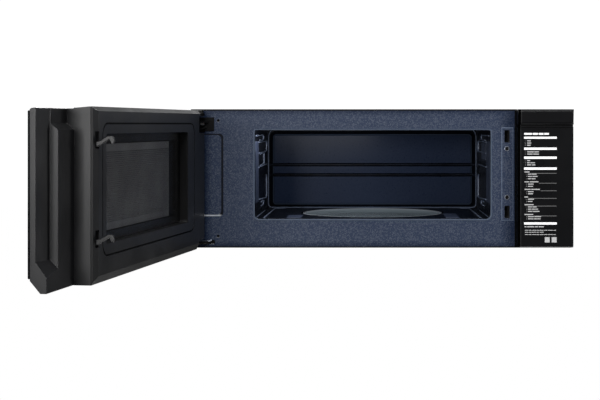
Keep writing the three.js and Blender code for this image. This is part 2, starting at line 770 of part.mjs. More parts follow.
// ---------------------------------------------------------------- latch board, switches and screws
const boardBack = linerFront + boardDepth;
const switchBack = boardBack + clearance + switchDepth;

function latchBoard() {
  const half = slotWidth / 2 + chamberMargin;
  const wall = 7;
  const board = block(slotX - half - wall, plateRight - clearance, linerFront, boardBack,
    lowerSlotBottom - boardMargin, upperSlotBottom + slotHeight + boardMargin);
  const chambers = slotFoots.map((z) => block(slotX - half, slotX + half, linerFront - 1, boardBack + 1,
    z - chamberMargin, z + slotHeight + chamberMargin));
  const bores = screwHeights.map((z) =>
    rod('y', slotX, linerFront - 1, z, screwShank + clearance, screwLength + 2, 12));
  return cut(board, ...chambers, ...bores);
}

function interlockSwitch(z) {
  const half = slotWidth / 2 + chamberMargin + 2;
  const foot = z + (slotHeight - switchHeight) / 2;
  const body = block(slotX - half, slotX + half, boardBack + clearance, switchBack,
    foot, foot + switchHeight);
  const well = rod('y', slotX, boardBack, z + slotHeight / 2, plungerRadius + clearance,
    clearance + plungerTravel + 5, 12);
  return cut(body, well);
}

function switchPlunger(z) {
  return rod('y', slotX, boardBack - plungerReach, z + slotHeight / 2, plungerRadius,
    plungerReach + clearance + 4, 12);
}

function latchScrew(z) {
  const face = -embossHeight - clearance;
  return join(
    rod('y', slotX, face - screwHeadHeight, z, screwHead, screwHeadHeight, 16),
    rod('y', slotX, face - 0.1, z, screwShank, screwLength + 0.1, 12));
}

// ---------------------------------------------------------------- turntable and its drive
function turntableGlass() {
  const t = glassThickness;
  return turned([[0, glassFoot], [glassFlat, glassFoot], [glassRadius, glassRim - t * 0.6],
    [glassRadius, glassRim], [glassRadius - 3, glassRim], [glassFlat - 2, glassFoot + t],
    [0, glassFoot + t]], 64).translate(turntableX, turntableSetback, 0);
}

function turntableCoupler() {
  const foot = wellFloor + clearance;
  const lobes = [];
  for (let i = 0; i < 3; i += 1) {
    const lobe = block(0, couplerRadius, -3.5, 3.5, foot + 1, glassFoot - clearance);
    lobes.push(lobe.rotateZ(i * 2 * Math.PI / 3).translate(turntableX, turntableSetback, 0));
  }
  return join(
    rod('z', turntableX, turntableSetback, foot, shaftRadius + 5, glassFoot - clearance - foot, 20),
    rod('z', turntableX, turntableSetback, foot - 10, shaftRadius, 11, 16), ...lobes);
}

function turntableMotor() {
  const top = wellFloor - linerSheet - clearance;
  const can = rod('z', turntableX, turntableSetback, top - motorHeight, motorRadius, motorHeight, 24);
  const ears = block(turntableX - motorRadius - 8, turntableX + motorRadius + 8, turntableSetback - 6,
    turntableSetback + 6, top - 2, top);
  const bore = rod('z', turntableX, turntableSetback, top - 12, shaftRadius + clearance, 13, 16);
  return cut(join(can, ears), bore);
}

const wheelInner = ringRadius + ringWidth / 2 + clearance;

function rollerRing() {
  const inner = ringRadius - ringWidth / 2;
  const outer = ringRadius + ringWidth / 2;
  const band = turned([[inner, axleHeight - ringHeight / 2], [outer, axleHeight - ringHeight / 2],
    [outer, axleHeight + ringHeight / 2], [inner, axleHeight + ringHeight / 2],
    [inner, axleHeight - ringHeight / 2]], 48);
  const axles = [];
  for (let i = 0; i < rollerCount; i += 1) {
    const reach = ringWidth / 2 + clearance + rollerWidth + 1;
    const axle = rod('x', ringRadius, 0, axleHeight, axleRadius, reach, 12);
    axles.push(axle.rotateZ(rollerAngle(i)));
  }
  return join(band, ...axles).translate(turntableX, turntableSetback, 0);
}

function rollerAngle(i) {
  return Math.PI / 2 + i * 2 * Math.PI / rollerCount;
}

function rollerWheel(i) {
  const wheel = cut(
    rod('x', wheelInner, 0, axleHeight, rollerRadius, rollerWidth, 20),
    rod('x', wheelInner - 1, 0, axleHeight, rollerBore, rollerWidth + 2, 12));
  return wheel.rotateZ(rollerAngle(i)).translate(turntableX, turntableSetback, 0);
}

function cavityLamp() {
  const z = underCavity + lampCentre;
  const holder = block(rightBay, rightBay + lampLength, lampSetback - 13, lampSetback + 13, z - 13, z + 13);
  const hollow = rod('x', rightBay - 1, lampSetback, z, 11, lampLength - 10, 20);
  const bulb = rod('x', rightBay + 3, lampSetback, z, 6, lampLength - 6, 16);
  return join(cut(holder, hollow), bulb);
}

// ---------------------------------------------------------------- filters and lamps in the base
function greaseFilter(side) {
  const x = turntableX + side * greaseSpacing / 2;
  const half = greaseWidth / 2;
  const slab = block(x - half, x + half, greaseSetback, greaseSetback + greaseLength,
    onBase, onBase + greaseThickness);
  const dishes = [[-1, greaseDish], [greaseThickness - greaseDish, greaseThickness + 1]].map(([low, high]) =>
    block(x - half + greaseRim, x + half - greaseRim, greaseSetback + greaseRim,
      greaseSetback + greaseLength - greaseRim, onBase + low, onBase + high));
  return cut(slab, ...dishes);
}

function cooktopLens(x) {
  return block(x - lensWidth / 2, x + lensWidth / 2, lensSetback, lensSetback + lensLength,
    onBase, onBase + lensThickness);
}

function cooktopLamp(x) {
  const foot = onBase + lensThickness + clearance;
  const shade = block(x - lensWidth / 2, x + lensWidth / 2, lensSetback, lensSetback + lensLength,
    foot, foot + lampBodyHeight);
  const hollow = block(x - lensWidth / 2 + 3, x + lensWidth / 2 - 3, lensSetback + 3,
    lensSetback + lensLength - 3, foot - 1, foot + lampBodyHeight - 3);
  const bulb = rod('x', x - lensWidth / 2 + 1, lensSetback + lensLength / 2, foot + lampBodyHeight / 2, 5,
    lensWidth - 18, 12);
  return join(cut(shade, hollow), bulb);
}

// ---------------------------------------------------------------- vent blower in the left bay
const ventX = left + sideBay / 2 - 1;
const ventMotorFront = scrollFront + scrollLength + ventMotorGap;
const rearScrollFront = ventMotorFront + ventMotorLength + ventMotorGap;
const ductFoot = cavityTop + linerSheet + 3;

function ventScroll(front) {
  const back = front + scrollLength;
  const w = scrollWall;
  const r = scrollRadius;
  const top = ductFoot - clearance;
  const legReach = r - scrollFootInset; // outer side of each leg from the axis
  const legTop = scrollHeight - r / 3;
  const outer = join(rod('y', ventX, front, scrollHeight, r, scrollLength, 32),
    block(ventX - r, ventX + chimneyReach, front, back, scrollHeight, top),
    block(ventX - legReach, ventX - legReach + scrollFootWidth, front, back, onBase, legTop),
    block(ventX + legReach - scrollFootWidth, ventX + legReach, front, back, onBase, legTop));
  const inner = join(rod('y', ventX, front + w, scrollHeight, r - w, scrollLength - 2 * w, 32),
    block(ventX - r + w, ventX + chimneyReach - w, front + w, back - w, scrollHeight, top + 1));
  const inlet = rod('y', ventX, front - 1, scrollHeight, inletRadius, scrollLength + 2, 24);
  return cut(outer, inner, inlet);
}

function ventMotor() {
  const can = rod('y', ventX, ventMotorFront, scrollHeight, ventMotorRadius, ventMotorLength, 24);
  const foot = block(ventX - ventMotorRadius, ventX + ventMotorRadius, ventMotorFront + ventMotorSeat,
    ventMotorFront + ventMotorLength - ventMotorSeat, onBase, scrollHeight - ventMotorRadius / 2);
  const bore = rod('y', ventX, ventMotorFront - 1, scrollHeight, shaftRadius + clearance,
    ventMotorLength + 2, 16);
  return cut(join(can, foot), bore);
}

function ventWheel(front, hubFirst) {
  const long = scrollLength - 2 * scrollWall - 2 * ventWheelGap;
  const disc = 3;
  const back = front + long;
  const hubStart = hubFirst ? front : back - disc;
  const ringStart = hubFirst ? back - disc : front;
  const blades = [];
  for (let i = 0; i < ventBlades; i += 1) {
    const blade = block(-0.8, 0.8, front + 1, back - 1, ventWheelRadius - 11, ventWheelRadius - 0.5);
    blades.push(blade.rotateY(i * 2 * Math.PI / ventBlades).translate(ventX, 0, scrollHeight));
  }
  const ring = cut(rod('y', ventX, ringStart, scrollHeight, ventWheelRadius, disc, 28),
    rod('y', ventX, ringStart - 1, scrollHeight, ventWheelRadius - 9, disc + 2, 28));
  return join(rod('y', ventX, hubStart, scrollHeight, ventWheelRadius, disc, 28), ring, ...blades);
}

function ventBlowerRotor() {
  const inset = scrollWall + ventWheelGap;
  const shaftStart = scrollFront + scrollLength - inset - 4;
  const shaftEnd = rearScrollFront + inset + 4;
  const shaft = rod('y', ventX, shaftStart, scrollHeight, shaftRadius, shaftEnd - shaftStart, 16);
  return join(ventWheel(scrollFront + inset, false), shaft, ventWheel(rearScrollFront + inset, true));
}

function exhaustDuct() {
  const d = ductWall;
  const top = height - cabinetSheet - clearance;
  const x0 = ventX - scrollRadius;
  const x1 = ventX + scrollRadius;
  const y0 = scrollFront;
  const y1 = rearInside - clearance;
  const reach = outletWidth / 2 + outletMargin;
  const across = outletFront - outletMargin;
  const outer = join(block(x0, x1, y0, y1, ductFoot, top), block(x1 - 1, reach, across, y1, ductFoot, top));
  const inner = join(block(x0 + d, x1 - d, y0 + d, y1 - d, ductFoot + d, top - d),
    block(x1 - d - 1, reach - d, across + d, y1 - d, ductFoot + d, top - d));
  const mouths = [scrollFront, rearScrollFront].map((front) =>
    block(ventX - scrollRadius + scrollWall, ventX + chimneyReach - scrollWall, front + scrollWall,
      front + scrollLength - scrollWall, ductFoot - 1, ductFoot + d + 1));
  const outlet = block(-outletWidth / 2, outletWidth / 2, outletFront, outletBack, top - d - 1, top + 1);
  return cut(outer, inner, ...mouths, outlet);
}

// ---------------------------------------------------------------- hinges
// A flat arm in plan: a round eye on the hinge axis that widens to a root between two X values.
function hingeArm(rootLeft, rootRight, rootY, z) {
  const shape = new THREE.Shape();
  shape.moveTo(rootRight, -bracketSheet);
  shape.lineTo(rootRight, rootY);
  shape.lineTo(rootLeft, rootY);
  shape.lineTo(rootLeft, -bracketSheet);
  shape.absarc(hingeX, hingeY, armHalfWidth, Math.PI, Math.PI * 2);
  return extruded(shape, armThickness, 10).translate(0, 0, z);
}

function hingeBracketTop() {
  const x0 = left + topBracketLeft;
  const leaf = block(x0, x0 + topBracketWidth, -clearance - bracketSheet, -clearance, topBracketFoot,
    topBracketFoot + topBracketHeight);
  const arm = hingeArm(hingeX + armHalfWidth, left + hingeNotchWidth - armLip, -clearance - bracketSheet / 2,
    topArmHeight);
  const bore = rod('z', hingeX, hingeY, topArmHeight - 1, pinRadius + clearance, armThickness + 2, 16);
  return cut(join(leaf, arm), bore);
}

function hingeBracketBottom() {
  const x0 = left + hingeSlotLeft + armLip;
  const root = plateSheet + clearance + bracketSheet;
  const leaf = block(x0 - bottomBracketFlange, x0 + hingeSlotWidth, plateSheet + clearance, root,
    onBase, onBase + bottomBracketHeight);
  const arm = hingeArm(x0, left + hingeNotchWidth - armLip, root - bracketSheet / 4, footArmHeight);
  const bore = rod('z', hingeX, hingeY, footArmHeight - 1, pinRadius + clearance, armThickness + 2, 16);
  return cut(join(leaf, arm), bore);
}

// A headed pin: its head lies on the far side of the arm and its tip fills the bush.
function hingePin(armZ, tipZ) {
  const up = tipZ > armZ;
  const headZ = up ? armZ - clearance - pinHeadHeight : armZ + armThickness + clearance;
  const shankFoot = up ? headZ + 1 : tipZ;
  const shankTop = up ? tipZ : headZ + 1;
  return join(rod('z', hingeX, hingeY, headZ, pinRadius + pinHead, pinHeadHeight, 16),
    rod('z', hingeX, hingeY, shankFoot, pinRadius, shankTop - shankFoot, 16));
}

function hingeBush(foot) {
  return cut(rod('z', hingeX, hingeY, foot, bushRadius, pinEngagement, 20),
    rod('z', hingeX, hingeY, foot - 1, bushBore, pinEngagement + 2, 16));
}

const topBushFoot = topNotchFoot - clearance - pinEngagement;
const footBushFoot = footNotchTop + clearance;

// ---------------------------------------------------------------- door, drawn closed
function hingeNotch(foot, top) {
  return block(left - 1, left + hingeNotchWidth, -leafDepth - 2, 0, foot, top);
}

const topNotch = () => hingeNotch(topNotchFoot, topNotchFoot + topNotchHeight);
const footNotch = () => hingeNotch(leafFoot - 1, footNotchTop);

function windowOutline(grow) {
  return rounded(left + windowLeft - grow, left + windowLeft + windowWidth + grow, windowFoot - grow,
    windowFoot + windowHeight + grow, windowRadius + Math.max(grow, 0));
}

// A plan of X and Y points, carried up past the whole height of the door.
function upright(points) {
  return extruded(outline(points), height * 2).translate(0, 0, -height / 2);
}

// Inner face of the door: a bevelled plate with a groove, and a rim that leads in to the window.
function chokeCover() {
  const back = -doorFace - coverPlate;
  const plate = block(left, leafEnd, back, -doorFace, leafFoot, leafTop);
  const over = 1; // how far a cut runs past what it cuts
  const endCut = upright([[leafEnd - endBevel, -doorFace], [leafEnd + over, -doorFace],
    [leafEnd + over, back]]);
  const hingeCut = upright([[left - over, -doorFace - hingeBevel - over],
    [left + hingeBevel + over, -doorFace + over], [left - over, -doorFace + over]]);
  const topCut = alongX([[-doorFace, leafTop - topBevel], [back, leafTop + over / 5],
    [-doorFace, leafTop + over * 2]], left - over, leafEnd + over);
  const footCut = alongX([[-doorFace, leafFoot + footBevel], [-doorFace, leafFoot - over * 2],
    [back, leafFoot - over / 5]], left - over, leafEnd + over);
  const grooveOuter = alongY(windowOutline(grooveInset), -doorFace - grooveDepth, -doorFace + over);
  const grooveInner = alongY(windowOutline(grooveInset - grooveWidth), -doorFace - grooveDepth - over,
    -doorFace + 2 * over);
  const rim = alongY(windowOutline(windowRim), -paneFace + clearance, -doorFace - over);
  const opening = alongY(windowOutline(0), -paneFace - over, over);
  const slots = slotFoots.map((z) => block(slotX - latchSlotWidth / 2, slotX + latchSlotWidth / 2,
    back - over, over, z - 1, z + slotHeight + 1));
  return cut(join(plate, rim), endCut, hingeCut, topCut, footCut, cut(grooveOuter, grooveInner), opening,
    topNotch(), footNotch(), ...slots);
}

function innerWindow() {
  return alongY(windowOutline(paneOverlap), -paneFace - paneThickness, -paneFace);
}

// Steel pan behind the inner face: the choke channel round its edge, open towards the cavity.
function doorFrame() {
  const e = frameEdge;
  const front = leafBack + 0.2;
  const back = screenFace + frameSheet;
  const x0 = left + hingeBlock + e;
  const pan = block(x0, leafEnd - e, -back, -front, leafFoot + e, leafTop - e);
  const inside = block(x0 + frameSheet, leafEnd - e - frameSheet, -screenFace, 0,
    leafFoot + e + frameSheet, leafTop - e - frameSheet);
  const view = alongY(windowOutline(-screenMargin), -back - 1, -front);
  return cut(pan, inside, view);
}

function doorScreen() {
  const face = screenFace + frameSheet + clearance;
  return alongY(windowOutline(-screenMargin + 8), -face - screenSheet, -face);
}

// Plastic shell: skirt, handle block with its finger pocket, chin and brow.
function doorFrontPanel() {
  const face = -glassBack + clearance;
  const chin = chinHeight * (glassBack - clearance - leafDepth) / (doorDepth - leafDepth);
  const skirt = block(left, leafEnd, -leafDepth - 1, -leafBack, leafFoot, leafTop);
  const slab = alongX([[-leafDepth, leafFoot + 0.6], [-doorDepth + chinDepth, leafFoot + 0.6],
    [face, leafFoot + chin], [face, panelTop - browBevel * 0.4], [face + browBevel, panelTop],
    [-leafDepth, panelTop]], left, doorEnd);
  const upperCut = alongX([[-leafDepth + 1, notchFoot - 1], [-notchDepth, notchTop],
    [-notchDepth, height + 1], [-leafDepth + 1, height + 1]], leafEnd, doorEnd + 1);
  const hollow = block(left + skin, leafEnd - skin, face + skin, 0,
    leafFoot + skin + chin, panelTop - skin - 2);
  const lowHollow = block(left + skin, leafEnd - skin, -leafDepth - 3, 0, leafFoot + skin, leafTop - skin);
  const blockHollow = block(leafEnd - skin - 1, pocketStart - skin, face + skin, -leafDepth - skin,
    leafFoot + skin + chin, notchFoot - skin - 3);
  const shell = cut(join(skirt, slab), upperCut, fingerPocket(), hollow, lowHollow, blockHollow);
  const topHinge = block(left, left + hingeBlock, -leafDepth - 4, -leafBack, topBushFoot - 4,
    topNotchFoot + topNotchHeight + 5);
  const footHinge = block(left, left + hingeBlock, -leafDepth - 4, -leafBack, leafFoot,
    footBushFoot + pinEngagement + 4);
  const bushBores = [topBushFoot - clearance, footBushFoot - clearance].map((z) =>
    rod('z', hingeX, hingeY, z, bushRadius + clearance, pinEngagement + 2 * clearance, 20));
  const view = alongY(windowOutline(-screenMargin), face - 1, -leafDepth);
  return cut(join(shell, topHinge, footHinge), topNotch(), footNotch(), view, ...bushBores);
}

// The finger pocket: a back that slants towards the free edge, over a slope that drops towards it too.
function fingerPocket() {
  const past = 1; // beyond the free edge
  const out = -leafDepth + 1;
  const inner = pocketStart;
  const outer = doorEnd + past;
  const outerBack = -pocketEdge - past * (pocketEdge - pocketStep) / pocketWidth;
  const corners = [
    [inner, out, pocketLedge - 1], [outer, out, pocketLedgeEnd - 1],
    [inner, -pocketStep, pocketFoot], [outer, outerBack, pocketFoot],
    [inner, out, height], [outer, out, height],
    [inner, -pocketStep, height], [outer, outerBack, height]];
  const sides = [[0, 3, 2], [0, 1, 3], [4, 7, 5], [4, 6, 7], [0, 5, 1], [0, 4, 5],
    [1, 7, 3], [1, 5, 7], [3, 6, 2], [3, 7, 6], [2, 4, 0], [2, 6, 4]];
  const geometry = new THREE.BufferGeometry();
  geometry.setAttribute('position', new THREE.Float32BufferAttribute(corners.flat(), 3));
  geometry.setIndex(sides.flat());
  return geometry;
}

function doorFrontGlass() {
  const b = 1;
  const z0 = leafFoot + chinHeight;
  const z1 = panelTop - browBevel;
  return alongX([[-glassBack, z0], [-doorDepth + b, z0], [-doorDepth, z0 + b], [-doorDepth, z1 - b],
    [-doorDepth + b, z1], [-glassBack, z1]], left + 1, doorEnd - 1);
}

function touchBoard() {
  const x0 = leafEnd + touchBoardMargin;
  const x1 = pocketStart - skin - touchBoardMargin;
  const face = -glassBack + clearance + skin + clearance;
  const back = face + circuitThickness;
  const board = block(x0, x1, face, back, touchBoardFoot, touchBoardFoot + touchBoardHeight);
  return join(board, ...[touchChip, touchPlug].map((part) => onBoard(part, x0, back - 0.5, touchBoardFoot)));
}

// ---------------------------------------------------------------- latch key and spring
const keyFront = -leafBack - 2;
const upperHookBase = upperSlotBottom + hookLift;
const lowerHookBase = lowerSlotBottom + hookLift + lowerHookShift;
const keyTop = upperHookBase + hookRoot + keyOverrun;
const springTop = leafTop - frameEdge - frameSheet - clearance;

// One hook, as Y and Z points: it leaves the bar, rises to its crown and ends in a nose that points down.
function hook(base) {
  const face = -doorFace;
  const tip = face + hookReach;
  const points = [[keyFront - 1, base], [face, base], [face + 14.5, base + 8.5], [face + 19, base + 11.4],
    [tip - 4.8, base + 4.2], [tip - 2.8, base + 4.2], [tip, base + 8.5], [tip - 1.2, base + 13.6],
    [tip - 4.6, base + 16.4], [face + 17, base + 16.4], [face + 6, base + 9.8], [face, base + hookRoot],
    [keyFront - 1, base + hookRoot]];
  return alongX(points, slotX - hookThickness / 2, slotX + hookThickness / 2);
}

function latchKey() {
  const bar = block(slotX - keyWidth / 2, slotX + keyWidth / 2, keyFront - keyDepth, keyFront,
    lowerHookBase - keyOverrun, keyTop);
  return join(bar, hook(upperHookBase), hook(lowerHookBase));
}

function latchSpring() {
  const foot = keyTop + clearance;
  return turned([[springRadius - springWall, foot], [springRadius, foot], [springRadius, springTop],
    [springRadius - springWall, springTop], [springRadius - springWall, foot]], 16)
    .translate(slotX, keyFront - keyDepth / 2, 0);
}

// ---------------------------------------------------------------- assembly
const cabinet = new THREE.Group();
cabinet.add(
  piece('outer_cabinet', 'blackSteel', outerCabinet()),
  piece('rear_panel', 'zincSteel', rearPanel()),
  piece('base_plate', 'blackSteel', basePlate()),
  piece('wall_mounting_plate', 'zincSteel', wallMountingPlate()),
  piece('outlet_blanking_plate', 'blackSteel', blankingPlate()),
  piece('front_plate', 'blueEnamel', frontPlate()),
  piece('cavity_liner', 'blueEnamel', cavityLiner()),
  piece('waveguide_cover', 'mica', waveguideCover()),
  piece('waveguide', 'zincSteel', waveguide()),
  piece('magnetron', 'zincSteel', magnetron()),
  piece('high_voltage_transformer', 'copper', transformer()),
  piece('high_voltage_capacitor', 'aluminium', capacitor()),
  piece('cooling_fan_frame', 'blackPlastic', coolingFanFrame()),
  piece('cooling_fan_rotor', 'blackPlastic', coolingFanRotor()),
  piece('air_baffle', 'zincSteel', airBaffle()),
  piece('charcoal_filter', 'charcoal', charcoalFilter()),
  piece('power_board', 'circuit', powerBoard()),
  piece('column_panel', 'blackPlastic', columnPanel()),
  piece('filter_access_cover', 'blackPlastic', filterAccessCover()),
  piece('latch_board', 'whitePlastic', latchBoard()),
  piece('cavity_lamp', 'whitePlastic', cavityLamp()),
  piece('turntable_motor', 'zincSteel', turntableMotor()),
  piece('turntable_glass', 'clearGlass', turntableGlass()),
  piece('turntable_coupler', 'whitePlastic', turntableCoupler()),
  piece('roller_ring', 'whitePlastic', rollerRing()),
  piece('vent_scroll_front', 'greyPlastic', ventScroll(scrollFront)),
  piece('vent_scroll_rear', 'greyPlastic', ventScroll(rearScrollFront)),
  piece('vent_motor', 'zincSteel', ventMotor()),
  piece('vent_blower_rotor', 'blackPlastic', ventBlowerRotor()),
  piece('exhaust_duct', 'zincSteel', exhaustDuct()),
  piece('hinge_bracket_top', 'blackSteel', hingeBracketTop()),
  piece('hinge_bracket_bottom', 'blackSteel', hingeBracketBottom()),
  piece('hinge_pin_top', 'zincSteel', hingePin(topArmHeight, topBushFoot + 1)),
  piece('hinge_pin_bottom', 'zincSteel', hingePin(footArmHeight, footBushFoot + pinEngagement - 1)),
);
for (const [i, place] of ['upper', 'lower'].entries()) {
  cabinet.add(
    piece(`interlock_switch_${place}`, 'blackPlastic', interlockSwitch(slotFoots[i])),
    piece(`switch_plunger_${place}`, 'whitePlastic', switchPlunger(slotFoots[i])),
    piece(`latch_screw_${place}`, 'zincSteel', latchScrew(screwHeights[i])));
}
for (const [i, place] of ['left', 'right'].entries()) {
  cabinet.add(
    piece(`grease_filter_${place}`, 'aluminium', greaseFilter(2 * i - 1)),
    piece(`cooktop_lens_${place}`, 'clearGlass', cooktopLens(lensCentres[i])),
    piece(`cooktop_lamp_${place}`, 'whitePlastic', cooktopLamp(lensCentres[i])));
}
for (let i = 0; i < rollerCount; i += 1) {
  cabinet.add(piece(`roller_wheel_${i + 1}`, 'whitePlastic', rollerWheel(i)));
}

const leaf = new THREE.Group();
leaf.position.set(-hingeX, -hingeY, 0);
leaf.add(
  piece('door_front_panel', 'blackPlastic', doorFrontPanel()),
  piece('door_front_glass', 'blackGlass', doorFrontGlass()),
  piece('door_frame', 'blackSteel', doorFrame()),
  piece('door_screen', 'blackSteel', doorScreen()),
  piece('inner_window', 'clearGlass', innerWindow()),
  piece('choke_cover', 'blackPlastic', chokeCover()),
  piece('touch_board', 'circuit', touchBoard()),
  piece('hinge_bush_top', 'greyPlastic', hingeBush(topBushFoot)),
  piece('hinge_bush_bottom', 'greyPlastic', hingeBush(footBushFoot)),
  piece('latch_key', 'blackPlastic', latchKey()),
  piece('latch_spring', 'zincSteel', latchSpring()),
);
const door = new THREE.Group();
door.position.set(hingeX, hingeY, 0);
door.rotation.z = -openAngle * Math.PI / 180;
door.add(leaf);

const microwave = new THREE.Group();
microwave.position.set(0, -depth, -height / 2);
microwave.add(cabinet, door);

export default microwave;
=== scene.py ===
# %% [markdown]
# # A slim over-the-range microwave oven
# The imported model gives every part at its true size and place, in metres, with the origin on the wall
# behind the oven. This lesson dresses those parts: it rounds their edges, adds the small things that a
# plain solid leaves out, and gives every surface a finish built from nodes.

# %% Load the frame
import json
import math
import bmesh
import bpy
from mathutils import Matrix, Vector


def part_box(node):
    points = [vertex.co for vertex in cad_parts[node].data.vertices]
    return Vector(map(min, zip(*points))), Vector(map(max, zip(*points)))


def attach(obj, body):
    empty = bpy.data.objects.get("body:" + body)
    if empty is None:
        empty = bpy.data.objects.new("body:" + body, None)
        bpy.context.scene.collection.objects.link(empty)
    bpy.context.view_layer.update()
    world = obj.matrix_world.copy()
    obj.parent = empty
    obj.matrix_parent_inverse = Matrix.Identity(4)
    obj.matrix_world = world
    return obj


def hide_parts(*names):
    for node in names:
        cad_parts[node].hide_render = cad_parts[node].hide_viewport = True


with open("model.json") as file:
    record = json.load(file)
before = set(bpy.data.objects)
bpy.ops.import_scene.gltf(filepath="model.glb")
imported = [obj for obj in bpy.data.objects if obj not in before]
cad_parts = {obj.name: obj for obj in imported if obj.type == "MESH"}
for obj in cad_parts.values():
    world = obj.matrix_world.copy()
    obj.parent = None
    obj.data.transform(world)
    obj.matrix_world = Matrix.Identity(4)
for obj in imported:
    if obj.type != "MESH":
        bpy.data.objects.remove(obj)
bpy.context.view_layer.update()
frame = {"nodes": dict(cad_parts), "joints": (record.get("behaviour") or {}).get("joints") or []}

# %% [markdown]
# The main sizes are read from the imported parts, so that what is added here follows them. The door is
# modelled closed, because its faces are then square to the axes, and is turned open about its hinge at the
# end. How far it stands open is the closing limit of its own joint.

# %% Sizes taken from the frame
MM = 0.001


def low(node):
    return Vector(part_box(node)[0])


def high(node):
    return Vector(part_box(node)[1])


cabinet_foot, cabinet_top = low("outer_cabinet").z, high("outer_cabinet").z
plate_face = low("outer_cabinet").y
face_y, foot, roof = plate_face / MM, cabinet_foot / MM, cabinet_top / MM
door_joint = next(j for j in frame["joints"] if j["name"] == "door_hinge")
hinge = Vector(door_joint["pos_m"])
open_angle = math.radians(-door_joint["range_deg"][0])
swing = Matrix.Translation(hinge) @ Matrix.Rotation(-open_angle, 4, "Z") @ Matrix.Translation(-hinge)
print("plate face at y =", round(plate_face, 4), "door open by", round(math.degrees(open_angle), 1))

# %% [markdown]
# The camera is level and square to the front, far to the right of the door. A long lens keeps the box
# shape flat, and the frame is shifted down and to the left instead of tilting the camera, so that upright
# edges stay upright.

# %% Camera
camera_data = bpy.data.cameras.new("studio_camera")
camera_data.sensor_width = 36
camera_data.lens = 81.43
camera_data.shift_x = -0.1164
camera_data.shift_y = -0.1263
camera_data.clip_end = 60
camera = bpy.data.objects.new("studio_camera", camera_data)
camera.location = (-0.0225, plate_face - 2.707, 0.1082)
camera.rotation_euler = (math.radians(90), 0, 0)
bpy.context.scene.collection.objects.link(camera)
bpy.context.scene.camera = camera
print("camera", round(camera_data.lens, 2), "mm lens")

# %% [markdown]
# The room is a white studio. The world gives a soft fill, and large lamps around the oven draw the long
# pale reflections that show the shape of black plastic. None stands right behind the camera, so faces that
# look straight at it stay dark. Each row gives a lamp's place, its aim, its width and height, and its watts.

# %% Studio light
scene = bpy.context.scene
scene.view_settings.view_transform = "Standard"
world = bpy.data.worlds.new("white_studio")
scene.world = world
world.use_nodes = True
sky = world.node_tree
sky.nodes.clear()
choose = sky.nodes.new("ShaderNodeMixShader")
for socket, colour, strength in ((1, (0.9, 0.95, 1, 1), 0.11), (2, (1, 1, 1, 1), 1.05)):
    glow = sky.nodes.new("ShaderNodeBackground")
    glow.inputs["Color"].default_value = colour
    glow.inputs["Strength"].default_value = strength
    sky.links.new(glow.outputs[0], choose.inputs[socket])
sky.links.new(sky.nodes.new("ShaderNodeLightPath").outputs["Is Camera Ray"], choose.inputs[0])
sky.links.new(choose.outputs[0], sky.nodes.new("ShaderNodeOutputWorld").inputs["Surface"])
door_side = (-0.35, -0.7, 0)
softboxes = {
    "right_softbox": ((3.514, 0.335, 0.3), door_side, 1.0, 0.8, 44),
    "front_left_softbox": ((-1.385, -4.564, 0.3), door_side, 1.0, 0.8, 46),
    "side_left_softbox": ((-2.921, -3.764, 0.3), door_side, 1.0, 0.8, 15),
    "front_right_softbox": ((2.6, -3.6, 0.9), (-0.3, -0.4, 0), 1.0, 0.8, 14),
    "front_top_softbox": ((-0.1, -3.5, 2.7), (-0.2, -0.4, 0), 1.2, 0.8, 32),
    "top_softbox": ((0.1, -2.0, 3.2), (0, -0.4, 0), 2.4, 1.0, 16),
    "rear_left_softbox": ((-1.4, 2.95, 0.9), (-0.2, 0, 0), 1.6, 1.2, 110),
    "back_softbox": ((-0.2, 3.6, 0.9), (0, 0, 0), 2.4, 1.4, 11),
    "under_softbox": ((0.1, -0.15, cabinet_foot - 0.7), (0.1, -0.15, 0), 0.9, 0.4, 5),
    "oven_lamp": ((-0.13, plate_face + 0.02, 0.088), (-0.17, -0.08, -0.02), 0.22, 0.015, 0.24),
}
for name, (place, aim, width, height, watts) in softboxes.items():
    data = bpy.data.lights.new(name, "AREA")
    data.shape = "RECTANGLE"
    data.size = width
    data.size_y = height
    data.energy = watts
    lamp = bpy.data.objects.new(name, data)
    lamp.location = place
    lamp.rotation_euler = (Vector(aim) - Vector(place)).to_track_quat("-Z", "Y").to_euler()
    scene.collection.objects.link(lamp)

# %% [markdown]
# A shader graph is easier to read when one short call adds a node, sets its sockets and links them. A
# value that is a socket becomes a link, and anything else is typed in.

# %% Node helpers


def put(tree, kind, sockets=None, **settings):
    node = tree.nodes.new("ShaderNode" + kind)
    for key, value in settings.items():
        setattr(node, key, value)
    for key, value in (sockets or {}).items():
        socket = node.inputs[key]
        if isinstance(value, bpy.types.NodeSocket):
            tree.links.new(value, socket)
        else:
            socket.default_value = value
    return node


def math_node(tree, operation, first, second=0.0):
    return put(tree, "Math", {0: first, 1: second}, operation=operation).outputs[0]


def times(tree, first, second):
    return math_node(tree, "MULTIPLY", first, second)


def most(tree, first, second):
    return math_node(tree, "MAXIMUM", first, second)


def spread(tree, value, from_low, from_high, to_low=0.0, to_high=1.0):
    return put(tree, "MapRange", {"Value": value, "From Min": from_low, "From Max": from_high,
                                  "To Min": to_low, "To Max": to_high}).outputs[0]


def blend_colours(tree, factor, first, second):
    mix = put(tree, "Mix", {"Factor": factor}, data_type="RGBA")
    for socket, colour in ((mix.inputs[6], first), (mix.inputs[7], second)):
        if isinstance(colour, bpy.types.NodeSocket):
            tree.links.new(colour, socket)
        else:
            socket.default_value = colour
    return mix.outputs[2]


def new_group(name, inputs, outputs):
    tree = bpy.data.node_groups.new(name, "ShaderNodeTree")
    for label, value in inputs.items():
        tree.interface.new_socket(label, in_out="INPUT", socket_type="NodeSocketFloat").default_value = value
    for label in outputs:
        tree.interface.new_socket(label, in_out="OUTPUT", socket_type="NodeSocketFloat")
    return tree, tree.nodes.new("NodeGroupInput").outputs, tree.nodes.new("NodeGroupOutput").inputs


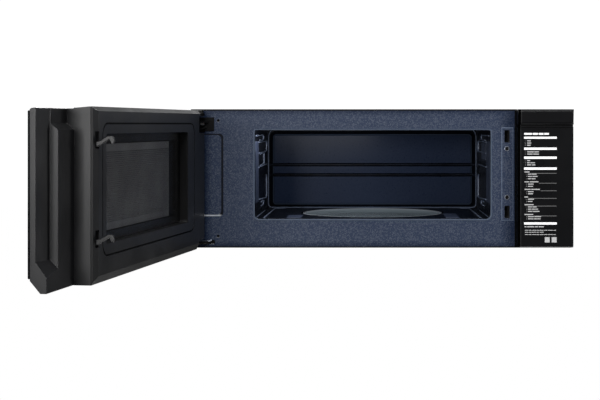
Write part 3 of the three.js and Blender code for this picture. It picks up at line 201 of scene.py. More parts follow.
def object_place(tree):
    return tree.nodes.new("ShaderNodeTexCoord").outputs["Object"]


def parts_of(tree, vector):
    """The X, Y and Z of a vector."""
    return put(tree, "SeparateXYZ", {0: vector}).outputs


def facing(tree, output="Normal"):
    return tree.nodes.new("ShaderNodeNewGeometry").outputs[output]


def one_of(tree, cells):
    """One random number for each cell of a Voronoi texture."""
    return put(tree, "SeparateColor", {0: cells.outputs["Color"]}).outputs[0]


print("node helpers ready")

# %% [markdown]
# Moulded plastic and powder coat have a fine grain that scatters light, and a slow mottle where the
# surface was hotter or cooler. One group gives both: `Grain` for a bump, `Mottle` for roughness.

# %% Group: surface grain
grain_group, given, result = new_group("surface_grain", {"Grain Size": 0.6, "Mottle Size": 40.0},
                                       ["Grain", "Mottle"])
tree = grain_group
fine = put(tree, "TexNoise", {"Vector": object_place(tree), "Detail": 2.0,
                              "Scale": math_node(tree, "DIVIDE", 1000.0, given["Grain Size"])})
slow = put(tree, "TexNoise", {"Vector": object_place(tree), "Detail": 3.0,
                              "Scale": math_node(tree, "DIVIDE", 1000.0, given["Mottle Size"])})
tree.links.new(fine.outputs["Fac"], result["Grain"])
tree.links.new(slow.outputs["Fac"], result["Mottle"])
print("group", tree.name)

# %% [markdown]
# Paint thins and plastic polishes where hands and neighbours rub, which is along edges, and some finishes use
# the same mask for a painted highlight along their edges. A Bevel node looks a little way round each point:
# where its rounded normal leaves the flat one, an edge is near.

# %% Group: edges, for wear and painted highlights
edge_group, given, result = new_group("edge_nearness", {"Width": 1.2, "Breakup": 8.0}, ["Wear"])
tree = edge_group
rounded = put(tree, "Bevel", {"Radius": math_node(tree, "DIVIDE", given["Width"], 1000.0)}, samples=4)
turn = put(tree, "VectorMath", {0: rounded.outputs[0], 1: facing(tree)}, operation="DOT_PRODUCT")
edge = spread(tree, turn.outputs["Value"], 0.995, 0.85)
patches = put(tree, "TexNoise", {"Vector": object_place(tree), "Detail": 4.0,
                                 "Scale": math_node(tree, "DIVIDE", 1000.0, given["Breakup"])})
tree.links.new(times(tree, edge, spread(tree, patches.outputs["Fac"], 0.35, 0.65)), result["Wear"])
print("group", tree.name)

# %% [markdown]
# Dust settles on what faces up. The group compares the normal with the vertical and breaks the film up
# with noise, so that it never looks sprayed on.

# %% Group: dust film
dust_group, given, result = new_group("dust_film", {"Cover": 0.3}, ["Dust"])
tree = dust_group
upward = parts_of(tree, facing(tree))["Z"]
flecks = put(tree, "TexNoise", {"Vector": object_place(tree), "Scale": 90.0, "Detail": 6.0,
                                "Roughness": 0.7})
film = times(tree, spread(tree, upward, 0.5, 1.0), spread(tree, flecks.outputs["Fac"], 0.4, 0.7))
tree.links.new(times(tree, film, given["Cover"]), result["Dust"])
print("group", tree.name)

# %% [markdown]
# Fired enamel is a glassy coat full of specks. Two sizes of Voronoi cells, of which only some are picked
# by their random value, give the pale specks, and a soft noise gives the cloudy ground between them.

# %% Group: enamel specks
speck_group, given, result = new_group("enamel_specks", {"Speck Size": 1.5, "Share": 0.3},
                                       ["Specks", "Cloud"])
tree = speck_group
warp = put(tree, "TexNoise", {"Vector": object_place(tree), "Scale": 700.0, "Detail": 2.0})
warp_reach = (0.9 * MM,) * 3
shift = put(tree, "VectorMath", {0: warp.outputs["Color"], 1: warp_reach}, operation="MULTIPLY")
place = put(tree, "VectorMath", {0: object_place(tree), 1: shift.outputs[0]}, operation="ADD").outputs[0]
strongest = None
for factor, strength in ((0.7, 0.8), (1.0, 1.0), (1.9, 0.5)):
    size = times(tree, given["Speck Size"], factor)
    cells = put(tree, "TexVoronoi", {"Vector": place, "Scale": math_node(tree, "DIVIDE", 1000.0, size)})
    pick = one_of(tree, cells)
    chosen = math_node(tree, "LESS_THAN", pick, given["Share"])
    spot = times(tree, chosen, spread(tree, cells.outputs["Distance"], 0.75, 0.1))
    layer = times(tree, spot, strength)
    strongest = layer if strongest is None else most(tree, strongest, layer)
cloud = put(tree, "TexNoise", {"Vector": object_place(tree), "Scale": 260.0, "Detail": 4.0})
tree.links.new(strongest, result["Specks"])
tree.links.new(cloud.outputs["Fac"], result["Cloud"])
print("group", tree.name)

# %% [markdown]
# Rolled and brushed metal carries fine lines one way. Noise that is squeezed across the lines and drawn
# out along them gives that, and each metal says how long its lines are on each axis.

# %% Group: drawn lines
line_group, given, result = new_group("drawn_lines", {"X": 30.0, "Y": 0.4, "Z": 0.4}, ["Lines"])
tree = line_group
scale = put(tree, "CombineXYZ", {axis: math_node(tree, "DIVIDE", 1000.0, given[axis]) for axis in "XYZ"})
drawn = put(tree, "VectorMath", {0: object_place(tree), 1: scale.outputs[0]}, operation="MULTIPLY")
lines = put(tree, "TexNoise", {"Vector": drawn.outputs[0], "Scale": 1.0, "Detail": 2.0})
tree.links.new(lines.outputs["Fac"], result["Lines"])
print("group", tree.name)

# %% [markdown]
# Each finish is one Principled shader. `finish` starts it, `use` places a group in it, and `paint`,
# `roughen` and `bump` link what nearly every finish needs. `two_tone` and `speckled_coat` make whole ones.

# %% Material helpers


def finish(name, colour, roughness, **sockets):
    material = bpy.data.materials.new(name)
    material.use_nodes = True
    shader = material.node_tree.nodes["Principled BSDF"]
    shader.inputs["Base Color"].default_value = (*colour, 1)
    shader.inputs["Roughness"].default_value = roughness
    for label, value in sockets.items():
        shader.inputs[label.replace("_", " ")].default_value = value
    return material, material.node_tree, shader


def use(tree, group, **values):
    node = put(tree, "Group")
    node.node_tree = group
    for label, value in values.items():
        node.inputs[label.replace("_", " ")].default_value = value
    return node.outputs


def stretch(tree, noise, start, end):
    """Noise stays mostly between 0.3 and 0.7. That range is drawn out from start to end."""
    return spread(tree, noise, 0.3, 0.7, start, end)


def roughen(tree, shader, noise, smooth, rough):
    tree.links.new(stretch(tree, noise, smooth, rough), shader.inputs["Roughness"])


def bump(tree, shader, height, depth):
    node = put(tree, "Bump", {"Height": height, "Strength": 1.0, "Distance": depth})
    tree.links.new(node.outputs[0], shader.inputs["Normal"])


def paint(tree, shader, colour):
    tree.links.new(colour, shader.inputs["Base Color"])


def grey(tone, blue=0.0):
    return (tone, tone, tone + blue, 1)


def two_tone(name, dark, pale, roughness=0.5, rough=(0.4, 0.6), grain_size=0.5, mottle_size=5.0, **sockets):
    """A finish whose colour drifts between two tones."""
    material, tree, shader = finish(name, pale[:3], roughness, **sockets)
    grain = use(tree, grain_group, Grain_Size=grain_size, Mottle_Size=mottle_size)
    paint(tree, shader, blend_colours(tree, grain["Mottle"], dark, pale))
    roughen(tree, shader, grain["Grain"], *rough)
    return material


def speckled_coat(name, dark, pale, speck_size, share, speck_colour=None):
    """A pale enamel in two tones, with or without pale specks, for painted highlights."""
    material, tree, shader = finish(name, pale[:3], 0.35)
    specks = use(tree, speck_group, Speck_Size=speck_size, Share=share)
    ground = blend_colours(tree, specks["Cloud"], dark, pale)
    if speck_colour:
        ground = blend_colours(tree, specks["Specks"], ground, speck_colour)
    paint(tree, shader, ground)
    roughen(tree, shader, specks["Cloud"], 0.3, 0.4)
    return material


print("material helpers ready")

# %% [markdown]
# Most of what shows is black plastic. It is nearly black by itself, and what the eye reads is its sheen:
# a fine spark-eroded grain with edges that are rubbed a little smoother.

# %% Finish: black plastics


def black_plastic(name, colour, smooth, rough, grain_size=0.7, grain_depth=0.00001, dusty=0.06,
                  edge_colour=(0.022, 0.022, 0.024), sheen=0.5):
    material, tree, shader = finish(name, colour, rough, Specular_IOR_Level=sheen)
    grain = use(tree, grain_group, Grain_Size=grain_size, Mottle_Size=70.0)
    near_edge = use(tree, edge_group, Width=1.0, Breakup=14.0)["Wear"]
    dust = use(tree, dust_group, Cover=dusty)["Dust"]
    ground = blend_colours(tree, grain["Mottle"], (*colour, 1), (*[c * 1.5 for c in colour], 1))
    # Near edges the colour turns to edge_colour: wear on most plastics, a painted highlight where edge_colour
    # is pale.
    edge_tinted = blend_colours(tree, times(tree, near_edge, 0.3), ground, (*edge_colour, 1))
    paint(tree, shader, blend_colours(tree, dust, edge_tinted, (0.3, 0.3, 0.3, 1)))
    worn = math_node(tree, "SUBTRACT", stretch(tree, grain["Mottle"], smooth, rough), times(tree, near_edge, 0.08))
    tree.links.new(worn, shader.inputs["Roughness"])
    bump(tree, shader, grain["Grain"], grain_depth)
    return material


satin_black = black_plastic("satin_black_plastic", (0.008, 0.008, 0.009), 0.3, 0.38)
ring_black = black_plastic("ring_black_plastic", (0.013, 0.013, 0.0135), 0.32, 0.4)
# Painted highlight: the column's pale edge colour draws a thin line of light along its rounded edges.
column_black = black_plastic("column_black_plastic", (0.007, 0.007, 0.008), 0.26, 0.33,
                             edge_colour=(0.14, 0.14, 0.145), sheen=0.35)
strip_black = black_plastic("strip_black_plastic", (0.008, 0.008, 0.0085), 0.34, 0.42, dusty=0.0, sheen=0.25)
bracket_coat = black_plastic("bracket_black_coat", (0.005, 0.005, 0.0055), 0.5, 0.6, 0.9, 0.00002, dusty=0.0,
                             sheen=0.2)
inner_black = black_plastic("inner_black_plastic", (0.012, 0.012, 0.013), 0.5, 0.65, 1.0, 0.00003, dusty=0.0)
print("black plastics made")

# %% [markdown]
# The column's left margin lies in the shadow of the gap beside the plate, and the rims of its two mouldings
# catch a thin line of light.

# %% Rims of the column
tree = column_black.node_tree
shader = tree.nodes["Principled BSDF"]
ground = shader.inputs["Base Color"].links[0].from_socket
place = parts_of(tree, object_place(tree))
seam = low("column_panel").x + 5.8 * MM
panel_edge, cover_edge = high("column_panel").z, low("filter_access_cover").z
rim_near, rim_far = 0.4 * MM, 1.8 * MM


def over(tree, value, limit):
    return math_node(tree, "GREATER_THAN", value, limit)


def between(tree, value, start, end):
    return times(tree, over(tree, value, start), math_node(tree, "LESS_THAN", value, end))


rims = between(tree, place["X"], seam, seam + 1.3 * MM)
for start, end in ((panel_edge - rim_far, panel_edge - rim_near),
                   (cover_edge + rim_near, cover_edge + rim_far)):
    rims = most(tree, rims, between(tree, place["Z"], start, end))
lit_rims = blend_colours(tree, rims, ground, (0.05, 0.05, 0.052, 1))
paint(tree, shader, blend_colours(tree, math_node(tree, "LESS_THAN", place["X"], seam), lit_rims,
                                  grey(0.001)))
sheen = spread(tree, place["X"], seam - 0.3 * MM, seam, 0.02, 0.28)
tree.links.new(sheen, shader.inputs["Specular IOR Level"])
print("column rims made")

# %% [markdown]
# Sheet parts are powder coated: a satin black with a finer, harder orange peel than moulded plastic, and
# edges where the grey primer begins to show.

# %% Finish: powder coat
powder_black, tree, shader = finish("black_powder_coat", (0.011, 0.011, 0.012), 0.6, Specular_IOR_Level=0.2)
grain = use(tree, grain_group, Grain_Size=1.1, Mottle_Size=90.0)
near_edge = use(tree, edge_group, Width=0.8, Breakup=10.0)["Wear"]
dust = use(tree, dust_group, Cover=0.12)["Dust"]
coat = blend_colours(tree, times(tree, near_edge, 0.4), (0.011, 0.011, 0.012, 1), (0.09, 0.09, 0.095, 1))
paint(tree, shader, blend_colours(tree, dust, coat, (0.3, 0.29, 0.28, 1)))
roughen(tree, shader, grain["Mottle"], 0.6, 0.66)
bump(tree, shader, grain["Grain"], 0.00004)
print("powder coat made")

# %% [markdown]
# The front plate is steel under a speckled navy enamel. The ground is a dusty blue and pale specks lie in it.
# Towards the plate's outer edges the colour is darker and bluer, a painted shade along its outline. The lip
# round the opening and the slopes of its raised forms are painted pale, a painted highlight, and the lip's
# top is painted dark, a painted shadow. The walls of the sunk rectangle are painted pale where they face up
# and nearly black elsewhere, as painted light from above. The cavity has a smoother, darker enamel whose
# specks hardly show. Its back field is painted brighter than the other walls, with painted highlights on its
# edges.

# %% Finish: enamels
plate_middle = (low("front_plate") + high("front_plate")) / 2
plate_half = (high("front_plate") - low("front_plate")) / 2


def near_outline(tree):
    offset = put(tree, "VectorMath", {0: object_place(tree), 1: tuple(plate_middle)}, operation="SUBTRACT")
    place = parts_of(tree, offset.outputs[0])
    right = spread(tree, place["X"], plate_half.x - 0.034, plate_half.x - 0.006)
    left = spread(tree, place["X"], 0.042 - plate_half.x, 0.026 - plate_half.x)
    up = spread(tree, math_node(tree, "ABSOLUTE", place["Z"]), plate_half.z - 0.013, plate_half.z - 0.001)
    return most(tree, most(tree, left, right), up)


plate_enamel, tree, shader = finish("speckled_navy_enamel", (0.03, 0.043, 0.078), 0.3, Specular_IOR_Level=0.2)
specks = use(tree, speck_group, Speck_Size=1.9, Share=0.24)
place = parts_of(tree, object_place(tree))
height = math_node(tree, "SUBTRACT", plate_face, place["Y"])
# Painted shade along the plate's outline: darker and bluer, with fewer pale specks, weaker on the raised
# forms.
outline_shade = times(tree, near_outline(tree), spread(tree, height, 0.5 * MM, 0.75 * MM, 1.0, 0.3))
ground = blend_colours(tree, specks["Cloud"], (0.043, 0.062, 0.118, 1), (0.058, 0.082, 0.15, 1))
outline_shaded_ground = blend_colours(tree, times(tree, outline_shade, 0.85), ground, (0.006, 0.017, 0.052, 1))
pale = times(tree, specks["Specks"], spread(tree, outline_shade, 0.0, 1.0, 1.0, 0.3))
speckled = blend_colours(tree, pale, outline_shaded_ground, (0.19, 0.22, 0.29, 1))
# Painted highlight and shadow on the lip round the opening: pale, and dark along its top edge.
opening_top = high("cavity_liner").z
lip = spread(tree, height, 0.9 * MM, 1.1 * MM)
lip_light_and_shade = blend_colours(tree, spread(tree, place["Z"], opening_top + 1.5 * MM, opening_top),
                         (0.012, 0.022, 0.06, 1), (0.17, 0.22, 0.31, 1))
coat = blend_colours(tree, times(tree, lip, 0.7), speckled, lip_light_and_shade)
# Painted highlight: the slopes of the raised forms, apart from the latch strip, are painted pale.
slope = times(tree, spread(tree, height, 0.05 * MM, 0.2 * MM), spread(tree, height, 0.78 * MM, 0.7 * MM))
strip_x, strip_z = 252 * MM, cabinet_foot + 146.8 * MM
strip_half_x, strip_half_z = 9 * MM, 90 * MM
aside = math_node(tree, "ABSOLUTE", math_node(tree, "SUBTRACT", place["X"], strip_x))
along = math_node(tree, "ABSOLUTE", math_node(tree, "SUBTRACT", place["Z"], strip_z))
slope = times(tree, slope, most(tree, over(tree, aside, strip_half_x), over(tree, along, strip_half_z)))
coat = blend_colours(tree, times(tree, slope, 0.85), coat, (0.24, 0.31, 0.44, 1))
# Painted light from above on the walls of the sunk rectangle: pale where they face up, nearly black
# elsewhere.
sunk_wall = times(tree, spread(tree, height, -0.05 * MM, -0.15 * MM),
                  spread(tree, height, -0.79 * MM, -0.74 * MM))
upward = parts_of(tree, facing(tree, "True Normal"))["Z"]
shaded = blend_colours(tree, spread(tree, upward, 0.08, 0.16), (0.004, 0.006, 0.014, 1),
                       (0.8, 0.83, 0.9, 1))
paint(tree, shader, blend_colours(tree, sunk_wall, coat, shaded))
roughen(tree, shader, specks["Cloud"], 0.38, 0.5)
bump(tree, shader, specks["Specks"], 0.00002)

cavity_enamel, tree, shader = finish("smooth_navy_enamel", (0.012, 0.018, 0.04), 0.24,
                                     Specular_IOR_Level=0.12)
specks = use(tree, speck_group, Speck_Size=1.6, Share=0.12)
# Painted light: the raised field of the back wall, which faces the front, is painted bright and the other
# walls dim, and a pale line on the field's sloped rim is a painted highlight.
toward = parts_of(tree, facing(tree))["Y"]
back_wall = spread(tree, toward, -0.75, -0.97)
dim = blend_colours(tree, specks["Cloud"], (0.002, 0.0025, 0.005, 1), (0.004, 0.005, 0.009, 1))
bright = blend_colours(tree, specks["Cloud"], (0.014, 0.024, 0.054, 1), (0.02, 0.033, 0.072, 1))
depth = parts_of(tree, object_place(tree))["Y"]
field_face = -42.8 * MM
field = times(tree, back_wall, spread(tree, depth, field_face + 0.5 * MM, field_face))
line = times(tree, spread(tree, depth, field_face + 1.8 * MM, field_face + 1.6 * MM),
             spread(tree, depth, field_face + 0.1 * MM, field_face + 0.4 * MM))
ground = blend_colours(tree, field, dim, bright)
ground = blend_colours(tree, times(tree, line, spread(tree, toward, -0.75, -0.86)), ground,
                       (0.05, 0.07, 0.11, 1))
# Painted highlight: the cavity's edges are painted a paler blue.
near_edge = use(tree, edge_group, Width=1.6, Breakup=40.0)["Wear"]
edge_tinted = blend_colours(tree, times(tree, near_edge, 0.6), ground, (0.07, 0.1, 0.17, 1))
paint(tree, shader, blend_colours(tree, times(tree, specks["Specks"], 0.08), edge_tinted, (0.1, 0.12, 0.18, 1)))
roughen(tree, shader, specks["Cloud"], 0.26, 0.36)

# Painted highlight: the beads are painted a pale blue, so that they read as lit ridges.
bead_enamel = speckled_coat("bead_highlight_enamel", (0.15, 0.19, 0.3, 1), (0.26, 0.32, 0.44, 1), 1.2, 0.3)
# Painted highlight: the skirts and floor pads get a paler, lit enamel.
skirt_enamel = speckled_coat("lit_navy_enamel", (0.03, 0.046, 0.1, 1), (0.05, 0.07, 0.13, 1), 1.3, 0.34,
                             (0.14, 0.16, 0.22, 1))
print("enamels made")

# %% [markdown]
# Bare metals: zinc-plated sheet with faint crystals, plain aluminium with rolling lines, and the
# transformer, whose copper winding shows between stacked steel sheets.

# %% Finish: metals


def metal(name, colour, dark, smooth, rough, x=0.5, y=0.5, z=0.5):
    """x, y and z: how long the drawn lines are along each axis, in millimetres."""
    material, tree, shader = finish(name, colour, rough, Metallic=1.0)
    lines = use(tree, line_group, X=x, Y=y, Z=z)["Lines"]
    grain = use(tree, grain_group, Grain_Size=6.0, Mottle_Size=60.0)
    near_edge = use(tree, edge_group, Width=0.6, Breakup=5.0)["Wear"]
    crystals = put(tree, "TexVoronoi", {"Vector": object_place(tree), "Scale": 120.0})
    facet = one_of(tree, crystals)
    tone = math_node(tree, "ADD", times(tree, facet, 0.35), times(tree, grain["Mottle"], 0.5))
    sheet = blend_colours(tree, tone, (*dark, 1), (*colour, 1))
    paint(tree, shader, blend_colours(tree, times(tree, near_edge, 0.5), sheet,
                                      (*[min(1, c * 1.25) for c in colour], 1)))
    roughen(tree, shader, lines, smooth, rough)
    bump(tree, shader, lines, 0.00001)
    return material


zinc = metal("zinc_plated_steel", (0.55, 0.57, 0.6), (0.36, 0.38, 0.41), 0.28, 0.46, 40.0, 3.0)
bright_steel = metal("bright_steel", (0.62, 0.63, 0.65), (0.45, 0.46, 0.48), 0.18, 0.32, 0.4, 0.4, 12.0)
aluminium = metal("rolled_aluminium", (0.74, 0.75, 0.77), (0.55, 0.56, 0.58), 0.28, 0.42, 0.5, 30.0)
screw_black = metal("blackened_screw", (0.03, 0.03, 0.032), (0.015, 0.015, 0.016), 0.4, 0.55)
# Painted highlight: the pale blue steel of the strip on the lower hinge arm.
arm_highlight_steel = metal("arm_highlight_steel", (0.68, 0.74, 0.86), (0.48, 0.54, 0.66), 0.3, 0.4)
washer_steel = metal("washer_steel", (0.42, 0.45, 0.52), (0.28, 0.31, 0.37), 0.3, 0.4)

copper, tree, shader = finish("copper_winding", (0.5, 0.27, 0.13), 0.4, Metallic=1.0)
turns = put(tree, "TexWave", {"Vector": object_place(tree), "Scale": 160.0, "Distortion": 0.6},
            wave_type="BANDS", bands_direction="Z")
grain = use(tree, grain_group, Grain_Size=2.0, Mottle_Size=30.0)
wire = blend_colours(tree, turns.outputs["Fac"], (0.16, 0.06, 0.025, 1), (0.62, 0.3, 0.13, 1))
paint(tree, shader, blend_colours(tree, grain["Mottle"], wire, (0.4, 0.2, 0.1, 1)))
roughen(tree, shader, grain["Mottle"], 0.3, 0.5)
bump(tree, shader, turns.outputs["Fac"], 0.0003)
print("metals made")

# %% [markdown]
# The light mouldings, the mica cover, the circuit boards and the charcoal are small or hidden, and each
# still has its own look: a grain, flakes, tracks or granules.

# %% Finish: light plastics, mica, board, charcoal


def light_plastic(name, colour, shade):
    material, tree, shader = finish(name, colour, 0.5, Subsurface_Weight=0.1)
    grain = use(tree, grain_group, Grain_Size=0.9, Mottle_Size=35.0)
    dust = use(tree, dust_group, Cover=0.15)["Dust"]
    body = blend_colours(tree, grain["Mottle"], (*shade, 1), (*colour, 1))
    paint(tree, shader, blend_colours(tree, dust, body, (0.35, 0.34, 0.32, 1)))
    roughen(tree, shader, grain["Mottle"], 0.42, 0.58)
    bump(tree, shader, grain["Grain"], 0.00002)
    return material


white_plastic = light_plastic("white_plastic", (0.72, 0.73, 0.73), (0.6, 0.61, 0.61))
grey_plastic = light_plastic("grey_plastic", (0.48, 0.49, 0.5), (0.38, 0.39, 0.4))

board_black, tree, shader = finish("latch_board_plastic", (0.006, 0.006, 0.006), 0.5)
grain = use(tree, grain_group, Grain_Size=0.9, Mottle_Size=20.0)
height = parts_of(tree, object_place(tree))["Z"]
# Painted light: at the bottom of each latch slot the board is painted pale, as light falling in through the
# slot.
slot_light_patch = None
for slot_foot in (59, 210):
    foot_z = cabinet_foot + slot_foot * MM
    patch = times(tree, spread(tree, height, foot_z + 14 * MM, foot_z + 2 * MM),
                  over(tree, height, foot_z - 4 * MM))
    slot_light_patch = patch if slot_light_patch is None else most(tree, slot_light_patch, patch)
body = blend_colours(tree, grain["Mottle"], grey(0.004), grey(0.008))
paint(tree, shader, blend_colours(tree, slot_light_patch, body, (0.16, 0.16, 0.165, 1)))
roughen(tree, shader, grain["Grain"], 0.45, 0.6)

mica, tree, shader = finish("mica_sheet", (0.4, 0.41, 0.43), 0.35)
flakes = put(tree, "TexVoronoi", {"Vector": object_place(tree), "Scale": 300.0}, distance="CHEBYCHEV")
cloud = use(tree, grain_group, Grain_Size=3.0, Mottle_Size=14.0)
flake = one_of(tree, flakes)
scales = blend_colours(tree, flake, (0.04, 0.055, 0.1, 1), (0.07, 0.09, 0.15, 1))
paint(tree, shader, blend_colours(tree, cloud["Mottle"], scales, (0.05, 0.065, 0.11, 1)))
roughen(tree, shader, cloud["Mottle"], 0.25, 0.45)
bump(tree, shader, flakes.outputs["Distance"], 0.00003)

circuit, tree, shader = finish("green_circuit_board", (0.06, 0.2, 0.09), 0.4)
tracks = put(tree, "TexBrick", {"Vector": object_place(tree), "Scale": 120.0, "Mortar Size": 0.03,
                                "Color1": (0.03, 0.13, 0.06, 1), "Color2": (0.05, 0.17, 0.08, 1),
                                "Mortar": (0.2, 0.34, 0.16, 1)})
grain = use(tree, grain_group, Grain_Size=1.0, Mottle_Size=12.0)
paint(tree, shader, blend_colours(tree, times(tree, grain["Mottle"], 0.4),
                                  tracks.outputs["Color"], (0.02, 0.08, 0.04, 1)))
roughen(tree, shader, grain["Mottle"], 0.3, 0.5)
bump(tree, shader, tracks.outputs["Fac"], 0.00004)

charcoal, tree, shader = finish("charcoal_granules", (0.02, 0.02, 0.02), 0.9)
granules = put(tree, "TexVoronoi", {"Vector": object_place(tree), "Scale": 420.0})
shade = one_of(tree, granules)
paint(tree, shader, blend_colours(tree, shade, grey(0.006), grey(0.045)))
roughen(tree, shader, shade, 0.75, 0.95)
bump(tree, shader, granules.outputs["Distance"], 0.001)
print("small finishes made")

# %% [markdown]
# Four glasses. The tray is thick pressed glass that looks pale grey-green against the dark enamel. The
# window pane is smoked, and dark enough that the steel screen behind it only glimmers. The front glass is
# black from behind. Lamp lenses are frosted. Alpha keeps the thin ones cheap to render. The inks glow a
# little, so that the print stays clear, and the coats of the steel screen are greys.

# %% Finish: glasses, inks, coats of the screen
glass_index = 1.9


def smear_of(tree, shader, smooth, rough):
    smear = use(tree, grain_group, Grain_Size=18.0, Mottle_Size=55.0)["Mottle"]
    roughen(tree, shader, smear, smooth, rough)
    return smear


def glass(name, colour, tint, smooth, rough, alpha_low, alpha_high):
    material, tree, shader = finish(name, colour, smooth, IOR=glass_index)
    smear = smear_of(tree, shader, smooth, rough)
    dust = use(tree, dust_group, Cover=0.1)["Dust"]
    body = blend_colours(tree, smear, (*colour, 1), (*tint, 1))
    paint(tree, shader, blend_colours(tree, dust, body, (0.4, 0.4, 0.4, 1)))
    tree.links.new(stretch(tree, smear, alpha_low, alpha_high), shader.inputs["Alpha"])
    return material


tray_glass, tree, shader = finish("pressed_tray_glass", (0.6, 0.7, 0.73), 0.12, IOR=glass_index)
smear_of(tree, shader, 0.12, 0.2)
tray_middle = (low("turntable_glass") + high("turntable_glass")) / 2
from_axis = put(tree, "VectorMath", {0: object_place(tree), 1: tuple(tray_middle)}, operation="SUBTRACT")
flat_offset = put(tree, "VectorMath", {0: from_axis.outputs[0], 1: (1, 1, 0)}, operation="MULTIPLY")
radius = put(tree, "VectorMath", {0: flat_offset.outputs[0]}, operation="LENGTH").outputs["Value"]
# Painted highlight: the rolled rim is painted paler and more opaque than the rest of the tray.
rim = spread(tree, radius, 140 * MM, 146 * MM)
paint(tree, shader, blend_colours(tree, rim, (0.4, 0.49, 0.54, 1), (0.6, 0.66, 0.72, 1)))
tree.links.new(spread(tree, rim, 0.0, 1.0, 0.85, 1.0), shader.inputs["Alpha"])
window_glass = glass("smoked_window_glass", (0.02, 0.02, 0.021), (0.026, 0.026, 0.027), 0.16, 0.24, 0.2,
                     0.28)
black_glass = glass("black_front_glass", (0.004, 0.004, 0.005), (0.006, 0.006, 0.007), 0.03, 0.06, 0.96,
                    1.0)
lens_glass = glass("frosted_lens_glass", (0.7, 0.72, 0.73), (0.8, 0.82, 0.83), 0.35, 0.5, 0.55, 0.7)


def printed(name, dark, pale, glow, mottle_size=5.0):
    return two_tone(name, grey(dark), grey(pale), mottle_size=mottle_size, Emission_Color=grey(1.0),
                    Emission_Strength=glow)


white_ink = printed("white_ink", 0.85, 0.95, 0.75, 9.0)
faded_ink = printed("faded_ink", 0.5, 0.7, 0.22)
rule_ink = printed("rule_ink", 0.13, 0.18, 0.07)
# This black serves the print on the pane and also the black pieces that are painted shade.
print_and_shade_black = two_tone("print_and_shade_black", grey(0.003), grey(0.006), 0.6, (0.5, 0.7), 0.6, 12.0,
                      Specular_IOR_Level=0.05)
coat_sizes = {"grain_size": 1.2, "mottle_size": 50.0}
screen_steel = two_tone("screen_coat", grey(0.18, 0.005), grey(0.23, 0.005), **coat_sizes)
border_steel = two_tone("screen_border_coat", grey(0.13, 0.005), grey(0.17, 0.005), **coat_sizes)
print("glasses and inks made")

# %% [markdown]
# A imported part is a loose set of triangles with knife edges. `refine` makes a finer copy: it merges the
# corners, dissolves the flat triangles into whole faces, rounds every sharp edge a little with the bevel
# operator, and hides the plain part behind it. Weighted normals keep the flat faces looking flat.

# %% Mesh helpers
weld = 0.00001


def settle(name, bm, body, slot, material, replaced=(), smooth=True, crease=40):
    mesh = bpy.data.meshes.new(name)
    bm.to_mesh(mesh)
    bm.free()
    piece = bpy.data.objects.new(name, mesh)
    scene.collection.objects.link(piece)
    mesh.materials.append(material)
    if smooth:
        mesh.shade_smooth()
        mesh.set_sharp_from_angle(angle=math.radians(crease))
        weighted = piece.modifiers.new("weighted_normals", "WEIGHTED_NORMAL")
        weighted.keep_sharp = True
    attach(piece, body)
    if replaced:
        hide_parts(*replaced)
    print(name, len(mesh.polygons), "faces")


def soften(bm, width, segments=2, degrees=25.0):
    bm.normal_update()
    limit = math.radians(degrees)
    sharp = [e for e in bm.edges if len(e.link_faces) == 2 and e.calc_face_angle(0.0) > limit]
    bmesh.ops.bevel(bm, geom=sharp, offset=width, offset_type="OFFSET", segments=segments, profile=0.5,
                    affect="EDGES", clamp_overlap=False, material=-1)


def copy_of(node):
    bm = bmesh.new()
    bm.from_mesh(frame["nodes"][node].data)
    bmesh.ops.remove_doubles(bm, verts=bm.verts, dist=weld)
    bmesh.ops.dissolve_limit(bm, angle_limit=math.radians(1), verts=bm.verts, edges=bm.edges)
    return bm


def refine(node, body, slot, material, width, segments=2):
    bm = copy_of(node)
    soften(bm, width, segments)
    settle(node + "_shell", bm, body, slot, material, replaced=[node])


def cuboid(bm, lowest, highest):
    lowest, highest = Vector(lowest), Vector(highest)
    made = bmesh.ops.create_cube(bm, size=1.0)["verts"]
    bmesh.ops.scale(bm, verts=made, vec=highest - lowest)
    bmesh.ops.translate(bm, verts=made, vec=(lowest + highest) / 2)
    return made


def block(bm, x0, x1, y0, y1, z0, z1):
    """A cuboid in millimetres."""
    return cuboid(bm, Vector((x0, y0, z0)) * MM, Vector((x1, y1, z1)) * MM)


def slabs(name, rows, body, slot, material, width=0.0, segments=2):
    """One piece made of blocks. A width, in millimetres, rounds their edges."""
    bm = bmesh.new()
    for row in rows:
        block(bm, *row)
    if width:
        soften(bm, width * MM, segments)
    settle(name, bm, body, slot, material, smooth=width > 0)


def face_outward(bm):
    bmesh.ops.recalc_face_normals(bm, faces=bm.faces)
    return bm


print("mesh helpers ready")

# %% [markdown]
# First the shells that show most and only need round edges: the latch key with its hooks, the column's
# panel, the oven's liner and the hinge brackets. The cover above the panel also tapers at its right edge.

# %% Shells with rounded edges
for node, body, slot, material, width, segments in (
        ("latch_key", "latch", "black_plastic", satin_black, 0.8, 3),
        ("column_panel", "cabinet", "black_plastic", column_black, 1.4, 3),
        ("cavity_liner", "cabinet", "blue_enamel", cavity_enamel, 0.35, 2),
        ("hinge_bracket_top", "cabinet", "black_steel", bracket_coat, 0.4, 2),
        ("hinge_bracket_bottom", "cabinet", "black_steel", bracket_coat, 0.4, 2)):
    refine(node, body, slot, material, width * MM, segments)

bm = copy_of("filter_access_cover")
cover_right, cover_front = high("filter_access_cover").x, low("filter_access_cover").y
for v in bm.verts:
    if v.co.x > cover_right - 0.5 * MM and v.co.y < cover_front + 2 * MM:
        v.co.x -= 2.4 * MM
soften(bm, 1.4 * MM, 3)
settle("filter_access_cover_shell", bm, "cabinet", "black_plastic", column_black, ["filter_access_cover"])

# %% [markdown]
# The front plate is pressed from one sheet, so its steps are slopes. In the plain part they are upright:
# here the top of each raised form and the floor of the sunk rectangle are drawn in a little, which leans
# their walls over, and the edges are then rounded.

# %% Front plate
pressed = 0.8 * MM


